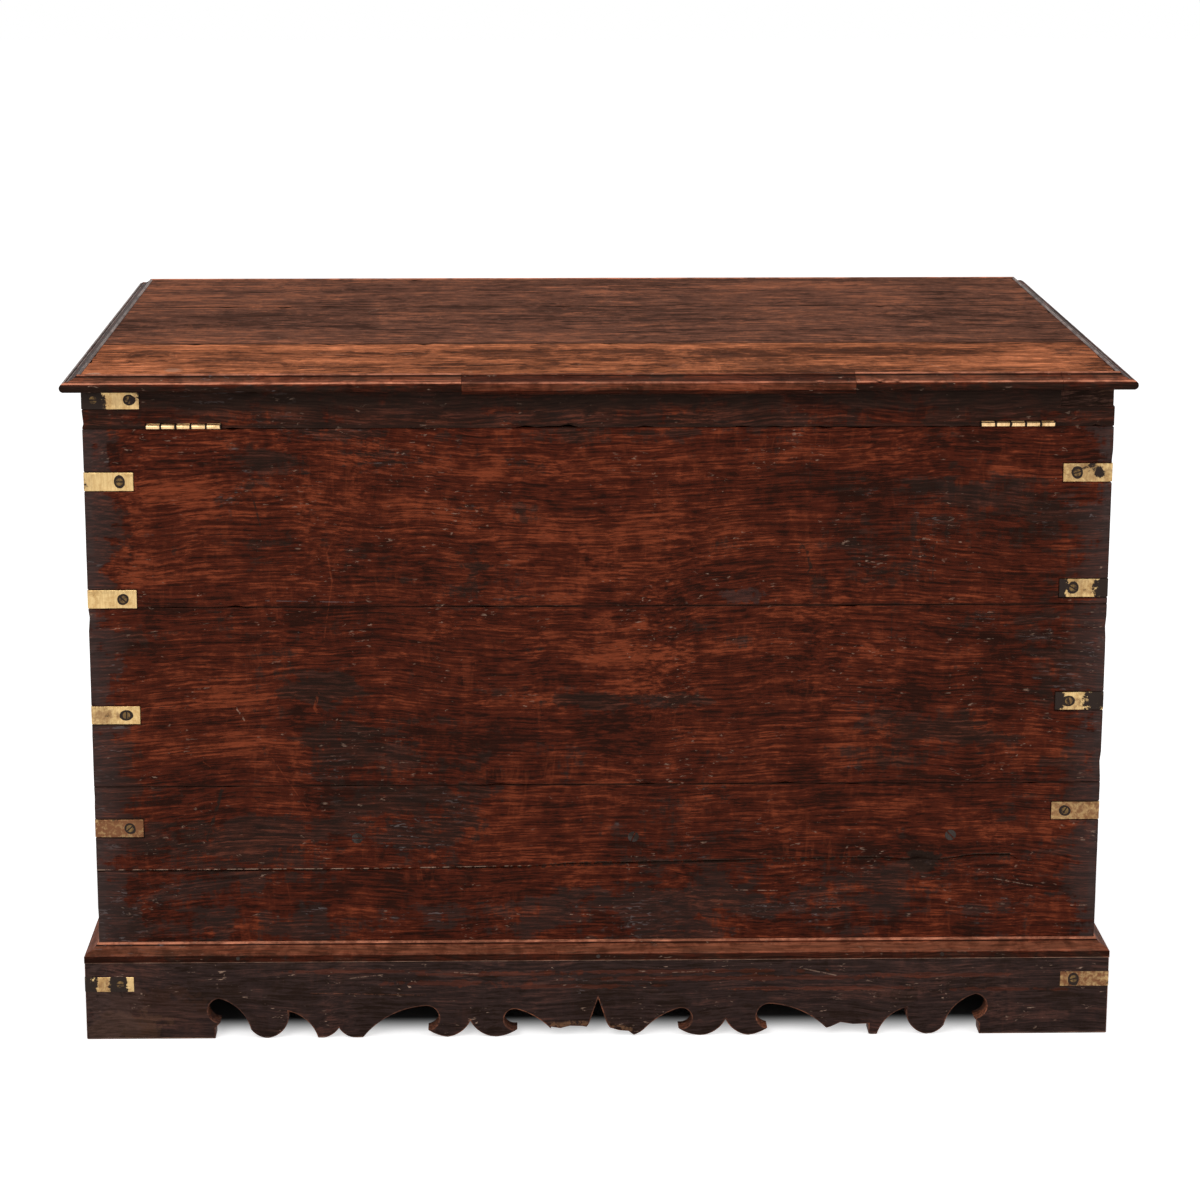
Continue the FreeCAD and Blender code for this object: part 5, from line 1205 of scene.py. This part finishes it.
class CHEST_OT_walls(bpy.types.Operator):
    """Make the twelve wall boards with their recesses, seams and crack"""
    bl_idname = "chest.walls"
    bl_label = "Walls"

    def execute(self, context):
        wood = finishes()
        recesses = strap_hollows(case_straps(), STRAP_LEG, STRAP_HEIGHT)
        for side, way in (("back", -1), ("front", 1)):
            lip = sorted((way * (CASE_Y - REBATE), way * (INNER_Y - 3 * MM)))
            rebates = [(Vector((min(x, beyond), lip[0], 0)), Vector((max(x, beyond), lip[1], 1)))
                       for x, beyond in ((-INNER_X, -INNER_X - 1), (INNER_X, INNER_X + 1))]
            for number, course in enumerate(("lower", "middle", "upper")):
                node = "%s_board_%s" % (side, course)
                hollows = recesses + rebates
                marks, shape = [[], [], []], None
                if node == "front_board_upper":
                    hollows = hollows + [LOCK_BED, KEYHOLE]
                if node == "back_board_lower":
                    marks[2] = [CRACK_LINE + step * MM for step in (-13, -1.3, 0, 1.3, 13)]
                    marks[0] = [KNOT_HOLE.x + step * MM for step in (-18, -14, -9, -4, 0, 4, 9, 14, 18)]
                    shape = opened_crack
                bm = plank(node, hollows, number * 5.1 + way, marks=marks, shape=shape)
                piece = worn_piece(node, bm, [wood[side], wood["inner"]], "chest", "teak_case")
                line_inside(piece, 1, way)
        for side, way in (("left", -1), ("right", 1)):
            for number, course in enumerate(("lower", "middle", "upper")):
                node = "%s_end_board_%s" % (side, course)
                bm = plank(node, recesses, number * 7.3 + way, swapped=True)
                piece = worn_piece(node, bm, [wood["ends"], wood["inner_ends"]], "chest", "teak_case")
                line_inside(piece, 0, way)
        return {"FINISHED"}


class CHEST_OT_floor(bpy.types.Operator):
    """Make the raised floor, the ledgers under it and the plinth's corner blocks"""
    bl_idname = "chest.floor"
    bl_label = "Floor"

    def execute(self, context):
        wood = finishes()
        for number, part in enumerate(("back", "middle", "front")):
            node = "floor_board_" + part
            bm = plank(node, [], 11.0 + number, cell=0.03)
            worn_piece(node, bm, [wood["inner"]], "chest", "teak_inner")
        eased_pieces((("floor_ledgers", "chest", "teak_inner", "inner"),
                      ("plinth_corner_blocks", "chest", "teak_inner", "inner")), 1.2 * MM)
        return {"FINISHED"}


class CHEST_OT_plinth(bpy.types.Operator):
    """Make the scalloped plinth boards and the moulding over them"""
    bl_idname = "chest.plinth"
    bl_label = "Plinth"

    def execute(self, context):
        wood = finishes()
        proud = PLINTH_X - CASE_X
        sides = (("back", BACK), ("front", FRONT), ("left", LEFT), ("right", RIGHT))
        for number, (side, angle) in enumerate(sides):
            long_side = angle in (BACK, FRONT)
            run, reach = (PLINTH_X, PLINTH_Y) if long_side else (PLINTH_Y, PLINTH_X)
            rows = LONG_SCALLOPS if long_side else END_SCALLOPS
            across = "" if long_side else "_ends"
            node = "plinth_board_" + side
            broken = (BROKEN_MIDDLE, BROKEN_TIP) if side == "back" else ()
            bm = plinth_skin(rows, run, reach, angle, number * 4.4, broken)
            woods = [wood["plinth" + across], wood["broken"], wood["plinth_rim"]]
            piece = worn_piece(node, bm, woods, "chest", "teak_plinth")
            along = 1 if long_side else 0
            face_towards(piece, 2, lambda centre, normal: abs(normal[along]) < 0.97
                         and 0.5 * MM < centre.z < SCALLOP_HEIGHT + 1.5 * MM)
            if side == "back":
                face_towards(piece, 1, lambda centre, normal: centre.z < 13.5 * MM and normal.z < -0.4
                             and -0.092 * PLINTH_X < centre.x < 0.078 * PLINTH_X)
            bm = bmesh.new()
            moulding_skin(bm, PLINTH_SECTION, run - proud, reach - proud, CASE_BASE, angle, MITRED, MITRED,
                          number * 6.1)
            worn_piece("plinth_moulding_" + side, bm, [wood["plinth_nose" + across]], "chest", "teak_plinth")
        return {"FINISHED"}


class CHEST_OT_lid(bpy.types.Operator):
    """Make the lid's boards, its rails and the battens under it"""
    bl_idname = "chest.lid"
    bl_label = "Lid"

    def execute(self, context):
        wood = finishes()
        recesses = strap_hollows(lid_straps(), LID_STRAP_LEG, LID_STRAP_HEIGHT)
        for number, part in enumerate(("back", "middle", "front")):
            node = "lid_board_" + part
            woods = [wood["strip" if part == "back" else "top"], wood["inner"]]
            piece = worn_piece(node, plank(node, [], 21.0 + number * 2.3), woods, "lid", "teak_lid_top")
            face_towards(piece, 1, lambda centre, normal: normal.z < -0.7)
        hinge_boxes = []
        for side in ("left", "right"):
            low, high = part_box("hinge_%s_lid_leaf" % side)
            hinge_boxes.append((Vector((low.x - 0.4 * MM, -1, 0)),
                                Vector((high.x + 0.4 * MM, high.y + 0.4 * MM, high.z + 0.3 * MM))))
        low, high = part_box("lock_link_plate")
        link_box = [(Vector((low.x, low.y, 0)), high.copy())]
        torn = [(Vector((TORN_START, -1, TORN_LOW)), Vector((1, -CASE_Y + STRAP_SUNK, 1))),
                (Vector((CASE_X - STRAP_SUNK, -1, TORN_LOW)), Vector((1, -CASE_Y + 56 * MM, 1)))]
        for side, way in (("back", -1), ("front", 1)):
            node = "lid_rail_" + side
            hollows = recesses + (hinge_boxes + torn if side == "back" else link_box)
            marks, shape = [[], [], []], None
            if side == "back":
                marks[0] = [TORN_START + step * 4.5 * MM for step in range(1, 12)]
                marks[2] = [TORN_LOW + step * 4 * MM for step in range(1, 5)]
                shape = torn_wood
            bm = plank(node, hollows, 31.0 + way, marks=marks, shape=shape)
            piece = worn_piece(node, bm, [wood["band"], wood["inner"], wood["broken"]], "lid", "teak_case")
            line_inside(piece, 1, way)
            if side == "back":
                face_towards(piece, 2, lambda centre, normal: centre.x > TORN_START and centre.z > TORN_LOW
                             and -CASE_Y + 0.9 * MM < centre.y < -CASE_Y + 4 * MM)
        for side, way in (("left", -1), ("right", 1)):
            node = "lid_rail_" + side
            bm = plank(node, recesses + (torn if side == "right" else []), 37.0 + way, swapped=True)
            piece = worn_piece(node, bm, [wood["band_ends"], wood["inner_ends"]], "lid", "teak_case")
            line_inside(piece, 0, way)
        eased_pieces([("lid_battens", "lid", "teak_inner", "inner_ends")], 1.5 * MM)
        return {"FINISHED"}


class CHEST_OT_lid_mouldings(bpy.types.Operator):
    """Make the mouldings round the lid, with the later patch at the back"""
    bl_idname = "chest.lid_mouldings"
    bl_label = "Lid mouldings"

    def execute(self, context):
        wood = finishes()
        seam = 0.2 * MM
        bites = [(x, 0.0095, 0.005) for x in (0.2205, 0.279, 0.296)]
        ends = [MITRED, *JOINTS, MITRED]
        spans = [(near if near is MITRED else near + seam, far if far is MITRED else far - seam)
                 for near, far in zip(ends, ends[1:])]
        for number, (part, section, finish, lengths) in enumerate((
                ("left", LID_SECTION, "nose", spans[:1]), ("patch", PATCH_SECTION, "patch", spans[1:2]),
                ("right", LID_SECTION, "nose", spans[2:]))):
            bm = bmesh.new()
            for start, end in lengths:
                moulding_skin(bm, section, CASE_X, CASE_Y, RAIL_TOP, BACK, start, end, 3.0 + number * 7.7,
                              bites)
            worn_piece("lid_moulding_back_" + part, bm, [wood[finish]], "lid", "teak_lid_edge")
        for side, angle, run, reach, finish in (("front", FRONT, CASE_X, CASE_Y, "nose"),
                                                ("left", LEFT, CASE_Y, CASE_X, "nose_ends"),
                                                ("right", RIGHT, CASE_Y, CASE_X, "nose_ends")):
            bm = bmesh.new()
            moulding_skin(bm, LID_SECTION, run, reach, RAIL_TOP, angle, MITRED, MITRED, 5.5 + angle)
            worn_piece("lid_moulding_" + side, bm, [wood[finish]], "lid", "teak_lid_edge")
        return {"FINISHED"}


class CHEST_OT_brass(bpy.types.Operator):
    """Make the angle straps, screws and nails"""
    bl_idname = "chest.brass"
    bl_label = "Brass binding"

    def execute(self, context):
        for side, way in (("back", -1), ("front", 1)):
            places = [row for row in case_straps() if row[3] == way]
            straps_piece("corner_straps_" + side, "chest", places, STRAP_LEG, STRAP_HEIGHT)
        places = strap_places([PLINTH_STRAP_Z], [PLINTH_STRAP_Z], PLINTH_X, PLINTH_Y)
        straps_piece("plinth_straps", "chest", places, PLINTH_STRAP_LEG, PLINTH_STRAP_HEIGHT)
        straps_piece("lid_straps", "lid", lid_straps(), LID_STRAP_LEG, LID_STRAP_HEIGHT)
        eased_pieces((("brass_screws_carcass", "chest", "brass", "screws"),
                      ("brass_screws_lid", "lid", "brass", "screws"),
                      ("floor_ledger_screws", "chest", "iron", "iron"),
                      ("plinth_moulding_nails", "chest", "iron", "iron")), segments=1)
        return {"FINISHED"}


class CHEST_OT_hinges(bpy.types.Operator):
    """Make the two butt hinges and their pins"""
    bl_idname = "chest.hinges"
    bl_label = "Hinges"

    def execute(self, context):
        leaves = [("hinge_%s_%s_leaf" % (side, part), body, "brass", "hinge")
                  for side in ("left", "right") for part, body in (("carcass", "chest"), ("lid", "lid"))]
        eased_pieces(leaves + [("hinge_pins", "chest", "brass", "hinge")])
        return {"FINISHED"}


class CHEST_OT_lock(bpy.types.Operator):
    """Make the lock, its bolt, its link plate and the keyhole plate"""
    bl_idname = "chest.lock"
    bl_label = "Lock"

    def execute(self, context):
        eased_pieces((("lock_case", "chest", "lock_iron", "lock_iron"),
                      ("lock_bolt", "lock_bolt", "lock_iron", "lock_iron"),
                      ("lock_link_plate", "lid", "lock_iron", "lock_iron"),
                      ("keyhole_plate", "chest", "brass", "brass")))
        return {"FINISHED"}


class CHEST_OT_handles(bpy.types.Operator):
    """Make the bails and their turned mounts"""
    bl_idname = "chest.handles"
    bl_label = "Handles"

    def execute(self, context):
        eased_pieces((("left_handle_bail", "left_handle", "brass", "brass"),
                      ("right_handle_bail", "right_handle", "brass", "brass")))
        low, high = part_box("handle_mounts")
        pivot = (low.z + high.z) / 2
        radius = (high.z - low.z) / 2
        rosette = [(share * radius, along * MM) for share, along in
                   ((0.98, -0.1), (0.99, 0.4), (0.94, 0.9), (0.88, 0.8), (0.84, 1.2), (0.7, 1.6), (0.58, 2.1),
                    (0.54, 2.0), (0.5, 2.4), (0.44, 2.45), (0.36, 2.9), (0.3, 3.8), (0.27, 5.2), (0.285, 6.2),
                    (0.308, 8), (0.311, 11.5), (0.305, 14), (0.27, 15.6), (0.2, 16.6), (0.1, 17.05))]
        rivet = [(share * 7 * MM, along * MM) for share, along in
                 ((1.0, 0), (0.97, 0.7), (0.84, 1.7), (0.6, 2.5), (0.3, 2.9), (0.08, 2.98))]
        bm = bmesh.new()
        for across, along in ((-1, -1), (-1, 1), (1, -1), (1, 1)):
            for profile, x, way, count in ((rosette, CASE_X, 1, 40), (rivet, INNER_X, -1, 28)):
                centre = Vector((across * x, along * (high.y - radius), pivot))
                loft(bm, turned_rings(profile, centre, (way * across, 0, 0), count))
        worn_piece("handle_mounts", bm, [finishes()["brass"]], "chest", "brass")
        return {"FINISHED"}


class CHEST_OT_stage(bpy.types.Operator):
    """Make the floor, the lights, the white surroundings and the camera"""
    bl_idname = "chest.stage"
    bl_label = "Stage"

    def execute(self, context):
        scene = context.scene
        colours = scene.chest_colours
        bm = bmesh.new()
        bmesh.ops.create_grid(bm, x_segments=8, y_segments=8, size=14)
        floor = new_piece("studio_floor", bm, [floor_material(colours.floor)])
        world = bpy.data.worlds.new("studio_world")
        world.use_nodes = True
        world.node_tree.nodes.clear()
        wires = Wiring(world.node_tree)
        path = world.node_tree.nodes.new("ShaderNodeLightPath").outputs
        mirrored = wires.math("MAXIMUM", path["Is Glossy Ray"], path["Is Transmission Ray"])
        seen = wires.math("MAXIMUM", path["Is Camera Ray"], mirrored)
        strength = wires.math("MULTIPLY_ADD", seen, 0.45, 0.55)
        back = world.node_tree.nodes.new("ShaderNodeBackground")
        world.node_tree.links.new(strength, back.inputs["Strength"])
        back.inputs["Color"].default_value = (1, 1, 1, 1)
        output = world.node_tree.nodes.new("ShaderNodeOutputWorld")
        world.node_tree.links.new(back.outputs[0], output.inputs[0])
        scene.world = world
        for name, place, size, energy in (("key_light", (-1.6, -2.6, 3.0), 2.4, 52),
                                          ("fill_light", (2.6, -2.2, 2.2), 2.2, 22),
                                          ("top_light", (0.2, 0.6, 3.4), 2.6, 26)):
            lamp = bpy.data.lights.new(name, "AREA")
            lamp.shape = "DISK"
            lamp.size = size
            lamp.energy = energy
            thing = bpy.data.objects.new(name, lamp)
            thing.location = place
            thing.rotation_euler = (LAMP_TARGET - Vector(place)).to_track_quat("-Z", "Y").to_euler()
            scene.collection.objects.link(thing)
        camera = bpy.data.cameras.new("photo_camera")
        camera.lens, camera.sensor_width = CAMERA_LENS, CAMERA_SENSOR
        camera.shift_x, camera.shift_y = CAMERA_SHIFT
        thing = bpy.data.objects.new("photo_camera", camera)
        thing.location = CAMERA_PLACE
        thing.rotation_euler = Euler((math.radians(90 - CAMERA_PITCH), 0, math.radians(-CAMERA_YAW)))
        scene.collection.objects.link(thing)
        scene.camera = thing
        scene.view_settings.view_transform = "Standard"
        return {"FINISHED"}


def floor_material(colour):
    """A matt pale floor that the camera sees as white, with the object's shadow left on it and a shadow
    painted under the chest.
    """
    material, wires, shader = new_material("studio_floor_white")
    place = object_place(wires)
    cloud = wires.noise(place, 2.0, 3)
    grit = wires.noise(place, 260.0, 2)
    tint = wires.mix(wires.math("MULTIPLY", cloud, 0.03), colour, FLOOR_CLOUD)
    links = wires.tree.links.new
    links(wires.math("MULTIPLY_ADD", grit, 0.05, 0.9), shader.inputs["Roughness"])
    shader.inputs["Specular IOR Level"].default_value = 0.0
    path = wires.tree.nodes.new("ShaderNodeLightPath").outputs
    seen = wires.math("MAXIMUM", path["Is Camera Ray"], path["Is Glossy Ray"])
    axes = wires.axes(place)
    out_x = wires.math("SUBTRACT", wires.math("ABSOLUTE", axes[0]), PLINTH_X)
    out_y = wires.math("SUBTRACT", wires.math("ABSOLUTE", axes[1]), PLINTH_Y)
    out = wires.math("MAXIMUM", out_x, out_y)
    # Under the chest the floor's colour turns to the painted shadow and the camera's glow fades out.
    links(wires.mix(wires.span(out, FLOOR_FADE, -0.012), FLOOR_PAINTED_SHADOW, tint), shader.inputs["Base Color"])
    open_floor = wires.span(out, FLOOR_FADE, -0.008, 0.0, 0.62)
    glow = wires.tree.nodes.new("ShaderNodeEmission")
    glow.inputs["Color"].default_value = (1, 1, 1, 1)
    links(wires.math("MULTIPLY", seen, open_floor), glow.inputs["Strength"])
    joined = wires.tree.nodes.new("ShaderNodeAddShader")
    links(shader.outputs[0], joined.inputs[0])
    links(glow.outputs[0], joined.inputs[1])
    output = [node for node in wires.tree.nodes if node.bl_idname == "ShaderNodeOutputMaterial"][0]
    links(joined.outputs[0], output.inputs[0])
    return material


OPERATORS = (CHEST_OT_stage, CHEST_OT_walls, CHEST_OT_floor, CHEST_OT_plinth, CHEST_OT_lid,
             CHEST_OT_lid_mouldings, CHEST_OT_brass, CHEST_OT_hinges, CHEST_OT_lock, CHEST_OT_handles)


class CHEST_PT_sidebar(bpy.types.Panel):
    """Lists the chest's pieces, sizes and colours"""
    bl_idname = "CHEST_PT_sidebar"
    bl_label = "Teak chest"
    bl_space_type = "VIEW_3D"
    bl_region_type = "UI"
    bl_category = "Chest"

    def draw(self, context):
        for operator in OPERATORS:
            self.layout.operator(operator.bl_idname)
        for settings in (context.scene.chest_sizes, context.scene.chest_colours):
            for label in settings.bl_rna.properties.keys():
                if label not in ("rna_type", "name"):
                    self.layout.prop(settings, label)


CLASSES = (ChestSizes, ChestColours) + OPERATORS + (CHEST_PT_sidebar,)


def register():
    for cls in CLASSES:
        bpy.utils.register_class(cls)
    bpy.types.Scene.chest_sizes = bpy.props.PointerProperty(type=ChestSizes)
    bpy.types.Scene.chest_colours = bpy.props.PointerProperty(type=ChestColours)


def unregister():
    del bpy.types.Scene.chest_sizes
    del bpy.types.Scene.chest_colours
    for cls in reversed(CLASSES):
        bpy.utils.unregister_class(cls)


def main():
    """Make every piece in order."""
    register()
    for operator in OPERATORS:
        group, name = operator.bl_idname.split(".")
        getattr(getattr(bpy.ops, group), name)()


if __name__ == "__main__":
    main()
